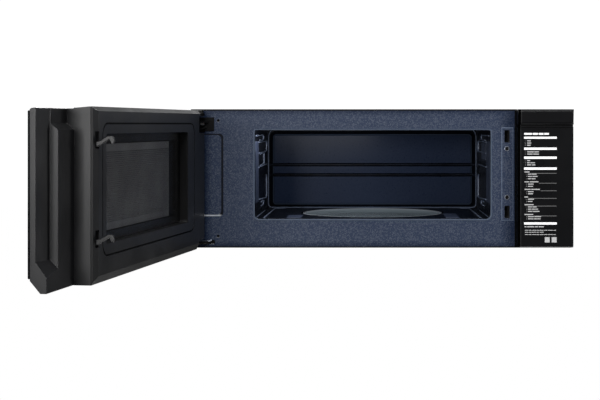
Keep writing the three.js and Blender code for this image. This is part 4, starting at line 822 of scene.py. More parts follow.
def at_depth(bm, y):
    return [v for v in bm.verts if abs(v.co.y - y) < 0.02 * MM]


def place_of(v):
    """Where a corner lies on the sheet, rounded so that the two sides of the sheet can be matched."""
    return round(v.co.x, 5), round(v.co.z, 5)


def draw_in(corners, lean_x, lean_z):
    for axis, lean in ((0, lean_x), (2, lean_z)):
        start = min(v.co[axis] for v in corners)
        end = max(v.co[axis] for v in corners)
        for v in corners:
            if v.co[axis] - start < 0.1 * MM:
                v.co[axis] += lean
            elif end - v.co[axis] < 0.1 * MM:
                v.co[axis] -= lean


bm = copy_of("front_plate")
draw_in(at_depth(bm, plate_face - pressed), 1.1 * MM, 1.1 * MM)
sunk = at_depth(bm, plate_face + pressed)
sunk_middle = sum((v.co for v in sunk), Vector()) / len(sunk)
sunk_corners = {place_of(v) for v in sunk}
for v in bm.verts:
    if place_of(v) in sunk_corners and v not in sunk:
        v.co.x -= math.copysign(1.5 * MM, sunk_middle.x - v.co.x)
        v.co.z -= math.copysign(1.7 * MM, sunk_middle.z - v.co.z)
for v in sunk:
    v.co.x += math.copysign(4.0 * MM, sunk_middle.x - v.co.x)
    v.co.z += math.copysign(1.6 * MM, sunk_middle.z - v.co.z)
soften(bm, 0.45 * MM, 2, 30.0)
settle("front_plate_shell", bm, "cabinet", "blue_enamel", plate_enamel, ["front_plate"])

# %% [markdown]
# The door's parts are described shut and swung open with one matrix. `shut_box` gives the box that a door
# part fills when the door is shut, and `settle_on_door` swings a finished piece open and hangs it there.

# %% Door helpers
unswing = swing.inverted()


def shut_box(node):
    corners = [unswing @ v.co for v in frame["nodes"][node].data.vertices]
    return (Vector([min(c[i] for c in corners) for i in range(3)]),
            Vector([max(c[i] for c in corners) for i in range(3)]))


def shut_copy_of(node):
    bm = copy_of(node)
    bmesh.ops.transform(bm, matrix=unswing, verts=bm.verts)
    return bm


def settle_on_door(name, bm, slot, material, replaced=(), **settings):
    bmesh.ops.transform(bm, matrix=swing, verts=bm.verts)
    settle(name, bm, "door", slot, material, replaced, **settings)


ring_low, ring_high = shut_box("choke_cover")
door_left, door_right = ring_low.x, ring_high.x
ring_foot, ring_top, ring_face = ring_low.z, ring_high.z, ring_high.y
print("door ring from", round(door_left, 4), "to", round(door_right, 4))

# %% [markdown]
# The top edge of the door's front moulding slants down towards the front. The ring of the inner face has
# flat bevels towards its outer edges, so its creases stay sharp. The groove round the window is drawn out to
# its full size here and made deeper, and a thin black sheet on its floor is painted shade in the groove.

# %% Inner face of the door
top_slant = 0.085
bm = shut_copy_of("door_front_panel")
panel_back = shut_box("door_front_panel")[1].y
for v in bm.verts:
    if v.co.z > ring_top - 2.4 * MM and v.co.y < panel_back - 0.5 * MM:
        v.co.z -= top_slant * (panel_back - v.co.y)
soften(bm, 0.6 * MM, 2, 14)
settle_on_door("door_front_panel_shell", bm, "black_plastic", satin_black, ["door_front_panel"])

bm = shut_copy_of("choke_cover")
groove_floor = at_depth(bm, ring_face - 1.2 * MM)
sunk_places = {place_of(v) for v in groove_floor}
groove = [v for v in bm.verts if place_of(v) in sunk_places and v.co.y > ring_face - 1.3 * MM]
for axis, start, end in ((0, door_left + 74 * MM, door_left + 608.5 * MM),
                         (2, cabinet_foot + 41 * MM, cabinet_foot + 249 * MM)):
    first, last = min(v.co[axis] for v in groove), max(v.co[axis] for v in groove)
    for v in groove:
        v.co[axis] += start - first if v.co[axis] < (first + last) / 2 else end - last
for v in groove_floor:
    v.co.y -= 1.0 * MM
# Painted shade: a thin black sheet on the floor of the groove.
groove_shade = bmesh.new()
for face in bm.faces:
    if all(v in groove_floor for v in face.verts):
        groove_shade.faces.new([groove_shade.verts.new(v.co + Vector((0, 0.1 * MM, 0))) for v in face.verts])
bmesh.ops.remove_doubles(groove_shade, verts=groove_shade.verts, dist=weld)
grown = bmesh.ops.extrude_face_region(groove_shade, geom=groove_shade.faces[:])["geom"]
bmesh.ops.translate(groove_shade, verts=[g for g in grown if isinstance(g, bmesh.types.BMVert)],
                    vec=(0, -0.15 * MM, 0))
bmesh.ops.triangulate(bm, faces=[f for f in bm.faces if len(f.verts) > 4])
settle_on_door("choke_cover_shell", bm, "black_plastic", ring_black, ["choke_cover"], crease=9)
settle_on_door("groove_shade_lining", face_outward(groove_shade), "inner_black_plastic", print_and_shade_black, smooth=False)

# %% [markdown]
# A filler strip lies on the bevel at the door's free end and makes it shallower. Its end faces follow the
# bevels of the upper and lower edge, and it is notched beside the two latch slots. At the hinge end a dark
# sliver lies on the upper bevel, a painted shade.

# %% Ends of the door
whole = [(door_right - 18.8 * MM, ring_face + 0.02 * MM, 12.3 * MM, 7.0 * MM),
         (door_right, ring_face - 2.3 * MM, 5.1 * MM, 2.9 * MM),
         (door_right, ring_face - 5.6 * MM, 0.0, 0.0)]
beside_slot = [(door_right - 7.0 * MM, ring_face - 1.42 * MM), (door_right, ring_face - 2.3 * MM),
               (door_right, ring_face - 5.6 * MM), (door_right - 7.0 * MM, ring_face - 5.6 * MM)]


def prism(bm, lower, upper):
    """Joins two loops of the same length, given as points, into a solid."""
    lower, upper = [bm.verts.new(p) for p in lower], [bm.verts.new(p) for p in upper]
    bm.faces.new(lower)
    bm.faces.new(upper[::-1])
    for i in range(len(lower)):
        j = (i + 1) % len(lower)
        bm.faces.new((lower[j], lower[i], upper[i], upper[j]))


lower_slot, upper_slot = [(cabinet_foot + z * MM, cabinet_foot + (z + 26.5) * MM) for z in (58, 209)]
bm = bmesh.new()
for z0, z1, at_foot, at_top in ((ring_foot, lower_slot[0], 1, 0), (lower_slot[1], upper_slot[0], 0, 0),
                                (upper_slot[1], ring_top, 0, 1)):
    prism(bm, [(x, y, z0 + at_foot * foot_in) for x, y, foot_in, top_in in whole],
          [(x, y, z1 - at_top * top_in) for x, y, foot_in, top_in in whole])
for z0, z1 in (lower_slot, upper_slot):
    prism(bm, [(x, y, z0) for x, y in beside_slot], [(x, y, z1) for x, y in beside_slot])
settle_on_door("door_end_strip", face_outward(bm), "black_plastic", strip_black, smooth=False)

# Painted shade: a black sliver on the upper bevel at the hinge end.
bm = bmesh.new()
notch = [(ring_face + 0.06 * MM, -10.5), (ring_face + 0.06 * MM, -6.9), (ring_face - 5.5 * MM, 0.05),
         (ring_face - 5.6 * MM, -0.4), (ring_face - 0.3 * MM, -7.4), (ring_face - 0.3 * MM, -10.5)]
prism(bm, [(door_left, y, ring_top + z * MM) for y, z in notch],
      [(door_left + 32 * MM, y, ring_top + z * MM) for y, z in notch])
settle_on_door("door_hinge_shade", face_outward(bm), "black_plastic", print_and_shade_black, smooth=False)

# %% [markdown]
# Behind the pane lies the steel screen that holds the microwaves in. It is a real lattice: one cell is an
# eight-sided hole in a square, with the thickness of the sheet around the hole, and cells are laid side by
# side and merged. A plain margin runs round it.

# %% Perforated screen
screen_low, screen_high = shut_box("door_screen")
field_left, field_right = door_left + 178 * MM, door_left + 534 * MM
field_foot, field_top = cabinet_foot + 88 * MM, cabinet_foot + 203 * MM
columns, rows = 108, 35
cell_x = (field_right - field_left) / columns
cell_z = (field_top - field_foot) / rows
hole, hole_sides = 0.36, 8
bm = bmesh.new()
for column in range(columns):
    for row in range(rows):
        x0, z0 = field_left + column * cell_x, field_foot + row * cell_z
        square = [bm.verts.new((x0 + a * cell_x, screen_high.y, z0 + b * cell_z))
                  for a, b in ((0, 0), (1, 0), (1, 1), (0, 1))]
        rim, under = [], []
        for step in range(hole_sides):
            angle = math.radians(-157.5 + 360 / hole_sides * step)
            x = x0 + cell_x * (0.5 + hole * math.cos(angle))
            z = z0 + cell_z * (0.5 + hole * math.sin(angle))
            rim.append(bm.verts.new((x, screen_high.y, z)))
            under.append(bm.verts.new((x, screen_low.y + 0.2 * MM, z)))
        for side in range(4):
            first = 2 * side
            bm.faces.new((square[side], square[(side + 1) % 4],
                          rim[(first + 2) % hole_sides], rim[first + 1]))
            bm.faces.new((square[side], rim[first + 1], rim[first]))
        for step in range(hole_sides):
            after = (step + 1) % hole_sides
            bm.faces.new((rim[step], rim[after], under[after], under[step]))
bmesh.ops.remove_doubles(bm, verts=bm.verts, dist=weld)
bmesh.ops.reverse_faces(bm, faces=bm.faces)
margins = [((field_right, screen_low.z), (screen_high.x, screen_high.z)),
           ((field_left, screen_low.z), (field_right, field_foot)),
           ((field_left, field_top), (field_right, screen_high.z))]
for (x0, z0), (x1, z1) in margins:
    cuboid(bm, (x0, screen_low.y, z0), (x1, screen_high.y, z1))
settle_on_door("screen_lattice", bm, "black_steel", screen_steel, ["door_screen"], smooth=False)
pane_low, pane_high = shut_box("inner_window")
bm = bmesh.new()
for z0, z1 in ((pane_low.z + 3 * MM, screen_low.z), (screen_high.z, pane_high.z - 3 * MM)):
    cuboid(bm, (field_left, pane_low.y - 1.4 * MM, z0), (screen_high.x + 9 * MM, pane_low.y - 0.8 * MM, z1))
settle_on_door("screen_border", bm, "black_steel", border_steel, smooth=False)
# Painted shade: the margin on the hinge side is black.
bm = bmesh.new()
cuboid(bm, screen_low, (field_left, screen_high.y, screen_high.z))
settle_on_door("screen_hinge_margin_shade", bm, "black_steel", print_and_shade_black, smooth=False)

# %% [markdown]
# The pane carries a thin printed outline a little inside the recess, drawn here as a flat frame that lies
# on the glass.

# %% Printed outline on the pane
line = 1.6 * MM
left, right = door_left + 150 * MM, door_left + 562 * MM
frame_foot, frame_top = cabinet_foot + 76 * MM, cabinet_foot + 217 * MM
bm = bmesh.new()
for (x0, z0), (x1, z1) in (((left, frame_foot), (left + line, frame_top)),
                           ((right - line, frame_foot), (right, frame_top)),
                           ((left + line, frame_foot), (right - line, frame_foot + line)),
                           ((left + line, frame_top - line), (right - line, frame_top))):
    cuboid(bm, (x0, pane_high.y - 0.02 * MM, z0), (x1, pane_high.y + 0.03 * MM, z1))
settle_on_door("pane_outline", bm, "window_glass", print_and_shade_black, smooth=False)

# %% [markdown]
# The tray is pressed glass. Its section is drawn from the middle outwards, with a rolled rim and two low
# rings, and spun once round with the spin operator.

# %% Turntable tray
tray_low, tray_high = low("turntable_glass"), high("turntable_glass")
tray_x, tray_y = (tray_low.x + tray_high.x) / 2, (tray_low.y + tray_high.y) / 2
tray_radius = (tray_high.x - tray_low.x) / 2 / MM
tray_foot, rim_z = tray_low.z / MM, tray_high.z / MM + 1.3
plate, ridge = tray_foot + 5.0, tray_foot + 5.8
section = [(0, plate), (30, plate), (31.5, ridge), (34, ridge), (35.5, plate), (88, plate), (89.5, ridge),
           (92, ridge), (93.5, plate), (124, plate), (131, tray_foot + 6.2), (138, tray_foot + 9.2),
           (143.5, rim_z - 1.6), (145.2, rim_z - 0.5), (146.6, rim_z), (148.2, rim_z - 0.5),
           (tray_radius, rim_z - 1.6), (tray_radius - 0.3, rim_z - 3.0), (tray_radius - 1.4, tray_foot + 4.0),
           (tray_radius - 4.5, tray_foot + 1.0), (tray_radius - 8.0, tray_foot), (0, tray_foot)]
bm = bmesh.new()
line = [bm.verts.new((tray_x + r * MM, tray_y, z * MM)) for r, z in section]
edges = [bm.edges.new(pair) for pair in zip(line, line[1:])]
bmesh.ops.spin(bm, geom=line + edges, cent=(tray_x, tray_y, 0), axis=(0, 0, 1), angle=math.tau, steps=128)
bmesh.ops.remove_doubles(bm, verts=bm.verts, dist=weld)
settle("turntable_tray", face_outward(bm), "turntable", "tray_glass", tray_glass, ["turntable_glass"])

# %% [markdown]
# The side walls, the floor and the back are stiffened with pressed beads. Each is a half-round ridge that
# follows a path. All paths but one are the same on both side walls: places are given as depth behind the
# plate's face and height above the cabinet's foot, and each path has the radius of its corners.

# %% Pressed beads in the oven
wall_left, wall_right = low("cavity_liner").x / MM + 1.0, high("cavity_liner").x / MM - 1.0
arc_steps = 6


def bend(points, radius, steps=5):
    """Replaces each inner corner of a path by a short curve."""
    path = [Vector(points[0])]
    for before, corner, after in zip(points, points[1:], points[2:]):
        corner = Vector(corner)
        start = corner + (Vector(before) - corner).normalized() * radius
        end = corner + (Vector(after) - corner).normalized() * radius
        for step in range(steps + 1):
            t = step / steps
            path.append(start.lerp(corner, t).lerp(corner.lerp(end, t), t))
    return path + [Vector(points[-1])]


def bead(bm, path, outward, width, rise):
    """A half-round ridge along path, standing on a flat sheet that faces outward. Millimetres."""
    outward = Vector(outward)
    rings = []
    for i, point in enumerate(path):
        along = path[min(i + 1, len(path) - 1)] - path[max(i - 1, 0)]
        across = along.cross(outward).normalized()
        ring = []
        for step in range(arc_steps + 1):
            angle = math.pi * step / arc_steps
            ring.append(bm.verts.new((point + across * (width / 2 * math.cos(angle))
                                      + outward * (rise * math.sin(angle) - 0.15)) * MM))
        rings.append(ring)
    for first, second in zip(rings, rings[1:]):
        for i in range(arc_steps):
            bm.faces.new((first[i], first[i + 1], second[i + 1], second[i]))
        bm.faces.new((first[-1], first[0], second[0], second[-1]))
    bm.faces.new(rings[0])
    bm.faces.new(rings[-1][::-1])


wall_paths = [
    ([(30, 223), (209, 223), (209, 213), (120, 213)], 4.9),
    ([(94, 209), (298, 209), (298, 186.5), (94, 186.5)], 7),
    ([(91, 158), (290, 158)], 2),
    ([(290, 134), (298, 131), (298, 85), (270, 85), (94, 91)], 6),
    ([(150, 83), (209, 83), (209, 75), (150, 75)], 3.9),
]
left_only = [([(130, 184), (224, 184), (224, 161), (130, 161)], 2)]
bm = bmesh.new()
for wall, outward, paths in ((wall_left, 1, wall_paths + left_only), (wall_right, -1, wall_paths)):
    for points, radius in paths:
        places = [(wall, face_y + depth, foot + height) for depth, height in points]
        bead(bm, bend(places, radius), (outward, 0, 0), 2.6, 2.4)
    edge = wall + outward * 0.6
    bead(bm, [Vector((edge, face_y + 20, foot + 58.2)), Vector((edge, face_y + 260, foot + 58.2))],
         (outward, 0, 0), 1.6, 1.0)
floor_level = foot + 57.4
for x in (-236, 201):
    bead(bm, bend([(x, face_y + 30, floor_level), (x, face_y + 330, floor_level),
                   (x * 0.9, face_y + 345, floor_level)], 8), (0, 0, 1), 3.0, 1.2)
# The beads carry the pale bead enamel, a painted highlight.
settle("wall_beads", face_outward(bm), "cabinet", "blue_enamel", bead_enamel)

bm = bmesh.new()
back_y = face_y + 352
left_x, right_x = wall_left + 1.2, wall_right - 1.2
bead(bm, bend([(left_x + 6, back_y, foot + 232), (left_x, back_y, foot + 226), (left_x, back_y, foot + 59),
               (right_x, back_y, foot + 59), (right_x, back_y, foot + 226),
               (right_x - 6, back_y, foot + 232)], 9), (0, -1, 0), 2.0, 1.6)
# The back bead carries the pale bead enamel, a painted highlight.
settle("back_bead", face_outward(bm), "cabinet", "blue_enamel", bead_enamel)

# %% [markdown]
# A thin raised field lies on the front of each side wall, and two low pads lie on the floor. Both are painted
# in a paler, lit enamel with pale specks: a painted highlight.

# %% Skirts and pads
slabs("wall_skirts", [(x, x + 0.6, face_y + 12, face_y + 94, foot + 87, foot + 212)
                      for x in (wall_left - 0.1, wall_right - 0.5)],
      "cabinet", "blue_enamel", skirt_enamel, 0.2, 1)
slabs("floor_pads", [(x0, x1, face_y + 20, face_y + reach, foot + 57.3, foot + 58.6)
                     for x0, x1, reach in ((-190, -161, 100), (131, 158, 150))],
      "cabinet", "blue_enamel", skirt_enamel, 0.5)

# %% [markdown]
# A folded hem of the black cabinet sheet covers the upper and lower edge of the front plate, and a flange
# closes the groove under the column's cover from behind.

# %% Hems and flange
hem_left, hem_right = low("front_plate").x / MM, high("front_plate").x / MM
slabs("cabinet_hems", [(hem_left, hem_right, face_y - 0.5, face_y + 0.1, z0, z1)
                       for z0, z1 in ((roof - 2.9, roof - 0.1), (foot + 0.1, foot + 2.6))],
      "cabinet", "black_steel", powder_black, 0.2)
panel = low("column_panel") / MM
slabs("cover_flange", [(panel.x + 1, high("filter_access_cover").x / MM - 0.4, panel.y + 2.5, face_y - 1,
                        panel_edge / MM - 0.2, cover_edge / MM + 0.2)],
      "cabinet", "black_plastic", column_black)

# %% [markdown]
# The printed guide on the column is made of plain bars, lines, dashes and numbers. Each entry gives how
# far it lies below the top of the print, in millimetres.

# %% Print on the column
print_left, print_width = 281.8, 65.1
print_top = 91.6
ink_front, ink_back = panel.y - 0.06, panel.y + 0.05
word_gap = 1.3


def bar(bm, x, down, width, height):
    left, top = print_left + x, print_top - down
    block(bm, left, left + width, ink_front, ink_back, top - height, top)


def dashes(bm, x, down, lengths, height, gap=word_gap):
    for length in lengths:
        bar(bm, x, down, length, height)
        x += length + gap


ink = bmesh.new()
faded = bmesh.new()
ruled = bmesh.new()
dashes(ink, 0, 0.6, (15.2, 10.4, 9.6, 9.2), 3.6, 1.5)
for down, height in ((7.5, 5.1), (29.0, 5.5), (46.7, 5.6), (68.2, 5.6), (176.5, 5.4)):
    bar(ink, 0, down + 0.5, print_width - 0.8, height - 1.1)
for down, lengths in ((15.2, (7,)), (19.6, (8,)), (23.9, (7,)), (37.0, (13, 9)), (41.3, (11, 11)),
                      (54.2, (6,)), (58.5, (5, 9)), (62.7, (8, 7))):
    dashes(faded, 6.0, down, lengths, 1.9)
for down, lengths in ((76.6, (10,)), (96.0, (9, 17)), (110.9, (12, 17)), (125.9, (7,)), (141.1, (18,)),
                      (160.5, (17,))):
    dashes(faded, 0.8, down, lengths, 2.0)
    first = 0.8 + sum(lengths) + word_gap * len(lengths)
    bar(ruled, first, down + 3.2, print_width - first - 1, 1.1)
for down, lengths in ((81.0, (7, 9)), (85.5, (8, 10)), (90.1, (6, 8)), (100.6, (11,)), (105.0, (10,)),
                      (115.5, (11,)), (119.8, (10,)), (130.4, (12,)), (134.8, (9,)), (145.6, (8, 8)),
                      (150.0, (7, 12)), (154.4, (9, 13)), (164.9, (12, 13)), (169.2, (11, 13))):
    dashes(faded, 7.5, down, lengths, 1.8, 1.0)
dashes(faded, 0.8, 184.6, (4, 14, 6, 10), 2.0)
for down, words in ((192.0, 8), (195.8, 5), (200.4, 8)):
    dashes(faded, 1.5, down, (7, 5, 9, 4, 8, 6, 10, 5)[:words], 1.2, 1.0)
for x in (40.2, 53.9):
    bar(faded, x + 0.6, 206.2, 9.6, 10.4)
for name, bm, material in (("print_bars", ink, white_ink), ("print_dashes", faded, faded_ink),
                           ("print_rules", ruled, rule_ink)):
    settle(name, bm, "cabinet", "black_plastic", material, smooth=False)

# %% [markdown]
# The numbers in front of the dashes, and the digits of the clock and keypad on the door's front glass, use
# the plain built-in letter shapes. The outline of each is turned into a mesh.

# %% Numbers


def digits(bm, text, x, z, size, face):
    """face: the y of the plane they lie in. Everything in millimetres."""
    curve = bpy.data.curves.new("digits", "FONT")
    curve.body = text
    curve.size = size * MM
    curve.align_x = "CENTER"
    holder = bpy.data.objects.new("digits", curve)
    mesh = holder.to_mesh()
    mesh.transform(Matrix.Translation(Vector((x, face, z)) * MM) @ Matrix.Rotation(math.radians(90), 4, "X"))
    bm.from_mesh(mesh)
    holder.to_mesh_clear()
    bpy.data.objects.remove(holder)


bm = bmesh.new()
for number, down in ((1, 17.1), (2, 21.5), (3, 25.8), (1, 38.9), (2, 43.2), (1, 56.1), (2, 60.4), (3, 64.6)):
    digits(bm, str(number), print_left + 2.2, print_top - down, 2.6, ink_front)
for number, down in ((1, 82.8), (2, 87.3), (3, 91.9), (4, 102.4), (5, 106.8), (6, 117.3), (7, 121.6),
                     (8, 132.2), (9, 136.6), (1, 147.4), (2, 151.8), (3, 156.2), (4, 166.7), (5, 171.0)):
    digits(bm, str(number), print_left + 4.6, print_top - down, 2.4, ink_front)
settle("print_numbers", bm, "cabinet", "black_plastic", faded_ink, smooth=False)

# %% [markdown]
# The door's front is glass from edge to edge, with a clock and a keypad of plain digits printed on it where
# the touch board lies behind.

# %% Clock and keypad
board_low, board_high = shut_box("touch_board")
pad_middle = (board_low.x + board_high.x) / 2 / MM
key_pitch = 17
glass_y = shut_box("door_front_glass")[0].y / MM
glass_face, glass_back = glass_y - 0.02, glass_y + 0.1
bm = bmesh.new()
digits(bm, "12:00", pad_middle, 66, 13, glass_face)
for row, keys in enumerate(("123", "456", "789")):
    for column, key in enumerate(keys):
        digits(bm, key, pad_middle + key_pitch * (column - 1), 32 - 21 * row, 9, glass_face)
digits(bm, "0", pad_middle, -31, 9, glass_face)
for row in range(3):
    for middle in (pad_middle - key_pitch, pad_middle + key_pitch):
        block(bm, middle - 4, middle + 4, glass_face, glass_back, -30 + 3 * row, -29.2 + 3 * row)
    block(bm, pad_middle - 24, pad_middle + 24, glass_face, glass_back, -47 - 12 * row, -46.5 - 12 * row)
settle_on_door("keypad_print", bm, "black_glass", faded_ink, smooth=False)

# %% [markdown]
# Round parts are turned: a section of radius and height is spun about an axis. It serves for screw heads,
# washers, plugs and a pressed boss.

# %% Turned parts


def turned(bm, centre, axis, section, steps=24):
    """section: (radius, height along the axis) in millimetres, closed on the axis at both ends."""
    along = Vector(axis)
    across = along.orthogonal().normalized()
    line = [bm.verts.new(Vector(centre) + across * r * MM + along * h * MM) for r, h in section]
    edges = [bm.edges.new(pair) for pair in zip(line, line[1:])]
    bmesh.ops.spin(bm, geom=line + edges, cent=centre, axis=axis, angle=math.tau, steps=steps)


def finish_turned(bm):
    bmesh.ops.remove_doubles(bm, verts=bm.verts, dist=0.000005)
    return face_outward(bm)


pan_head = [(0, -0.2), (3.0, -0.2), (3.0, 0.3), (2.7, 0.9), (2.0, 1.25), (1.0, 1.35), (0, 1.35)]
print("turned parts ready")

# %% [markdown]
# The two screws of the latch strip: a dark head with a sunk middle, on a paler washer.

# %% Latch strip screws
raise_screw = 2.3 * MM
for name in ("latch_screw_upper", "latch_screw_lower"):
    middle = (low(name) + high(name)) / 2
    seat = Vector((middle.x, plate_face - pressed, middle.z + raise_screw))
    bm = copy_of(name)
    bmesh.ops.translate(bm, verts=bm.verts, vec=(0, 0.5 * MM, raise_screw))
    turned(bm, seat, (0, -1, 0), [(0, -0.1), (3.5, -0.1), (3.5, 0.2), (3.2, 0.7), (2.4, 1.0), (1.6, 1.1),
                                  (1.4, 0.5), (0, 0.4)])
    settle(name + "_head", finish_turned(bm), "cabinet", "zinc_steel", screw_black, [name])
    bm = bmesh.new()
    turned(bm, seat, (0, -1, 0), [(3.6, -0.1), (5.2, -0.1), (5.2, 0.15), (4.9, 0.35), (3.8, 0.35), (3.6, 0.2),
                                  (3.6, -0.1)])
    settle(name + "_washer", finish_turned(bm), "cabinet", "zinc_steel", washer_steel)

# %% [markdown]
# Dark nylon plugs close the two small holes of the front plate from behind, and a black strip in the gap
# between the plate and the column is painted shade.

# %% Plugs and shade in the gap
bm = bmesh.new()
for z in (roof - 22.8, foot + 22.8):
    turned(bm, Vector((hem_left + 53, face_y + 1.4, z)) * MM, (0, -1, 0),
           [(0, -1.5), (4.5, -1.5), (4.5, 0.1), (0, 0.1)])
settle("plate_hole_plugs", finish_turned(bm), "cabinet", "inner_black_plastic", print_and_shade_black)
# Painted shade: a black strip fills the gap beside the column.
slabs("column_gap_shade", [(hem_right + 0.1, panel.x + 0.2, face_y + 0.6, face_y + 8, foot + 0.2, roof - 0.2)],
      "cabinet", "inner_black_plastic", print_and_shade_black)

# %% [markdown]
# The top hinge bracket has a round pressed boss and an upright rib. Beside the knuckle, black blocks are
# painted shade for a pocket that holds a small pale buffer and the slanted end of the torsion tongue. The
# lower hinge arm gets a pale edge, a painted highlight. Boss, rib and edge are low enough to stay clear of
# the ring of the shut door.

# %% Hinge details
leaf = face_y - 1.7
proud = leaf - ring_face / MM - 0.07
bracket_foot, bracket_top = low("hinge_bracket_top").z / MM, high("hinge_bracket_top").z / MM
bm = bmesh.new()
turned(bm, Vector((-341, leaf, bracket_top - 9)) * MM, (0, -1, 0),
       [(0, -0.3), (5.0, -0.3), (5.0, 0.0), (4.4, proud), (3.4, proud), (2.8, 0.1), (0, 0.1)], 32)
block(bm, -350.6, -348.8, leaf - proud, leaf + 0.2, bracket_foot + 0.5, bracket_top - 0.5)
settle("hinge_leaf_boss", finish_turned(bm), "cabinet", "black_steel", bracket_coat)
# Painted shade: black blocks beside the knuckle and behind the bracket.
slabs("hinge_pocket_shade", [(-363.5, -354.5, leaf, face_y, bracket_top + 2.6, roof - 2.9),
                       (-364.5, -351.0, leaf - 0.2, leaf + 0.2, bracket_foot - 2.6, bracket_top - 0.6)],
      "cabinet", "inner_black_plastic", print_and_shade_black)
slabs("hinge_buffer", [(-359.4, -352.4, leaf - 5.5, leaf - 0.1, 106.6, 112.2)],
      "cabinet", "grey_plastic", grey_plastic, 0.6)
bm = bmesh.new()
block(bm, -362, -347, leaf - 3.0, leaf - 0.1, 98.6, 101.8)
bmesh.ops.rotate(bm, verts=bm.verts, cent=Vector((-354.5, leaf, 100.2)) * MM,
                 matrix=Matrix.Rotation(math.radians(-22), 3, "Y"))
soften(bm, 0.5 * MM)
settle("hinge_tongue", bm, "cabinet", "black_steel", powder_black)
# Painted highlight: a pale strip along the top of the lower hinge arm.
slabs("hinge_arm_highlight", [(-363, -339, face_y - 1.9, face_y - 0.4, foot + 12.6, foot + 14.4),
                         (-340.5, -337.5, face_y - 1.9, face_y - 0.4, foot + 13.4, foot + 16.4)],
      "cabinet", "zinc_steel", arm_highlight_steel, 0.4)

# %% [markdown]
# Underneath, the grease filters are sheets of expanded metal. Two families of thin strands cross in each
# frame. The cooktop lenses carry fine ribs that spread the light.

# %% Underside
net_pitch, strand = 8.0, 0.9
rib_count = 14


def strands(bm, x0, x1, y0, y1, z, slant):
    """One family of slanted strips across a rectangle, which start from the left or the right side."""
    wide, outline_shaded_ground = x1 - x0, y1 - y0
    side = x0 if slant > 0 else x1
    offset = net_pitch / 2
    while offset < wide + outline_shaded_ground:
        start = Vector((side + slant * max(0, offset - outline_shaded_ground), y0 + min(offset, outline_shaded_ground), z))
        end = Vector((side + slant * min(offset, wide), y0 + max(0, offset - wide), z))
        length = (end - start).length
        if length > 2:
            made = block(bm, -length / 2, length / 2, -strand / 2, strand / 2, -0.35, 0.35)
            angle = math.atan2(end.y - start.y, end.x - start.x)
            bmesh.ops.rotate(bm, verts=made, cent=(0, 0, 0), matrix=Matrix.Rotation(angle, 3, "Z"))
            bmesh.ops.translate(bm, verts=made, vec=(start + end) / 2 * MM)
        offset += net_pitch


for side in ("left", "right"):
    corner, far = low("grease_filter_" + side) / MM, high("grease_filter_" + side) / MM
    bm = bmesh.new()
    for z, slant in ((corner.z + 2.5, 1), (corner.z + 1.9, -1)):
        strands(bm, corner.x + 8, far.x - 8, corner.y + 8, far.y - 8, z, slant)
    settle("filter_net_" + side, bm, "cabinet", "aluminium", aluminium, smooth=False)
    corner, far = low("cooktop_lens_" + side) / MM, high("cooktop_lens_" + side) / MM
    rib_pitch = (far.x - corner.x - 4) / rib_count
    middles = [corner.x + 2 + rib_pitch * (i + 0.5) for i in range(rib_count)]
    slabs("lens_ribs_" + side, [(x - rib_pitch * 0.3, x + rib_pitch * 0.3, corner.y + 2, far.y - 2,
                                 corner.z - 0.5, corner.z + 0.2) for x in middles],
          "cabinet", "lens_glass", lens_glass)

# %% [markdown]
# Behind and on top, the sheets are held with pan-head screws, and the rear panel has ribs pressed outwards
# on both sides of the wall plate.

# %% Back and roof
rear_face = high("rear_panel").y / MM


def outline(y0, y1, z0, z1, radius, corner_steps=6):
    points = []
    for cy, cz, start in ((y1 - radius, z1 - radius, 0), (y0 + radius, z1 - radius, 90),
                          (y0 + radius, z0 + radius, 180), (y1 - radius, z0 + radius, 270)):
        for step in range(corner_steps + 1):
            angle = math.radians(start + 90 * step / corner_steps)
            points.append((cy + radius * math.cos(angle), cz + radius * math.sin(angle)))
    return points


low_head = [(0, -0.2), (3.0, -0.2), (3.0, 0.2), (2.7, 0.7), (2.0, 1.0), (0, 1.1)]
bm = bmesh.new()
for x in (-372, -190, 0, 190, 372):
    for z in (foot + 6, roof - 6):
        turned(bm, Vector((x, rear_face, z)) * MM, (0, 1, 0), pan_head, 16)
for x in (-355, -120, 120, 355):
    turned(bm, Vector((x, -150, roof - 0.15)) * MM, (0, 0, 1), low_head, 16)
settle("sheet_screws", finish_turned(bm), "cabinet", "zinc_steel", zinc)

bm = bmesh.new()
for x in (-359, 359):
    for z0 in (-96, -48, 0, 48):
        pill = outline(x - 9, x + 9, z0, z0 + 36, 4)
        inner = outline(x - 7.5, x + 7.5, z0 + 1.5, z0 + 34.5, 3)
        prism(bm, [Vector((px, rear_face - 0.1, pz)) * MM for px, pz in pill],
              [Vector((px, rear_face + 0.9, pz)) * MM for px, pz in inner])
settle("rear_ribs", face_outward(bm), "cabinet", "zinc_steel", zinc)

# %% [markdown]
# The remaining sheets and small parts that can be seen only need their edges rounded.

# %% Small roundings
for node, body, slot, material, width in [
        ("outer_cabinet", "cabinet", "black_steel", powder_black, 0.3),
        ("base_plate", "cabinet", "black_steel", powder_black, 0.25),
        ("rear_panel", "cabinet", "zinc_steel", zinc, 0.25),
        ("wall_mounting_plate", "cabinet", "zinc_steel", zinc, 0.4),
        ("outlet_blanking_plate", "cabinet", "black_steel", powder_black, 0.2),
        ("hinge_pin_top", "cabinet", "zinc_steel", bright_steel, 0.4),
        ("hinge_pin_bottom", "cabinet", "zinc_steel", bright_steel, 0.4),
        ("waveguide_cover", "cabinet", "mica", mica, 0.2)]:
    refine(node, body, slot, material, width * MM)

# %% [markdown]
# The floor is a plain pale sheet far below the oven. Seen from underneath it lets light through, so that
# the underside can be looked at too.

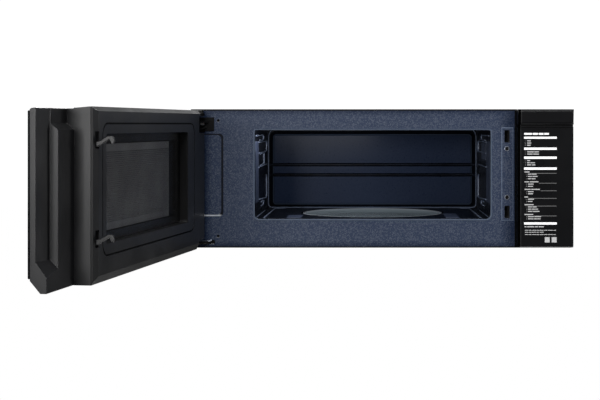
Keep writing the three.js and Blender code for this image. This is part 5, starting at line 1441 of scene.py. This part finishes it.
# %% Floor
floor_drop = 0.75
bm = bmesh.new()
bmesh.ops.create_grid(bm, x_segments=1, y_segments=1, size=14)
bmesh.ops.translate(bm, verts=bm.verts, vec=(0, 0, cabinet_foot - floor_drop))
floor_mesh = bpy.data.meshes.new("studio_floor")
bm.to_mesh(floor_mesh)
bm.free()
floor = bpy.data.objects.new("studio_floor", floor_mesh)
scene.collection.objects.link(floor)
pale, tree, shader = finish("pale_floor", (0.05, 0.05, 0.05), 0.9, Specular_IOR_Level=0.0)
glow = put(tree, "Emission", {"Color": (1, 1, 1, 1), "Strength": 1.0})
clear = tree.nodes.new("ShaderNodeBsdfTransparent")
lit = put(tree, "MixShader", {0: tree.nodes.new("ShaderNodeLightPath").outputs["Is Camera Ray"],
                              1: shader.outputs[0], 2: glow.outputs[0]})
side = put(tree, "MixShader", {0: facing(tree, "Backfacing"), 1: lit.outputs[0], 2: clear.outputs[0]})
tree.links.new(side.outputs[0], tree.nodes["Material Output"].inputs["Surface"])
floor_mesh.materials.append(pale)

# %% [markdown]
# The parts that keep their plain solids get their finish here.

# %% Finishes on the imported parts
worn_by = {
    powder_black: ["door_frame"],
    zinc: ["waveguide", "air_baffle", "exhaust_duct"],
    bright_steel: ["latch_spring"],
    aluminium: ["magnetron", "high_voltage_capacitor", "turntable_motor", "vent_motor", "grease_filter_left",
                "grease_filter_right"],
    copper: ["high_voltage_transformer"],
    inner_black: ["cooling_fan_frame", "cooling_fan_rotor", "vent_blower_rotor", "interlock_switch_upper",
                  "interlock_switch_lower"],
    board_black: ["latch_board", "switch_plunger_upper", "switch_plunger_lower"],
    white_plastic: ["cavity_lamp", "turntable_coupler", "roller_ring", "roller_wheel_1", "roller_wheel_2",
                    "roller_wheel_3", "cooktop_lamp_left", "cooktop_lamp_right"],
    grey_plastic: ["vent_scroll_front", "vent_scroll_rear", "hinge_bush_top", "hinge_bush_bottom"],
    circuit: ["power_board", "touch_board"],
    charcoal: ["charcoal_filter"],
    lens_glass: ["cooktop_lens_left", "cooktop_lens_right"],
    window_glass: ["inner_window"],
    black_glass: ["door_front_glass"],
}
for material, names in worn_by.items():
    for name in names:
        data = frame["nodes"][name].data
        data.materials.clear()
        data.materials.append(material)
print("finished parts:", sum(len(names) for names in worn_by.values()))
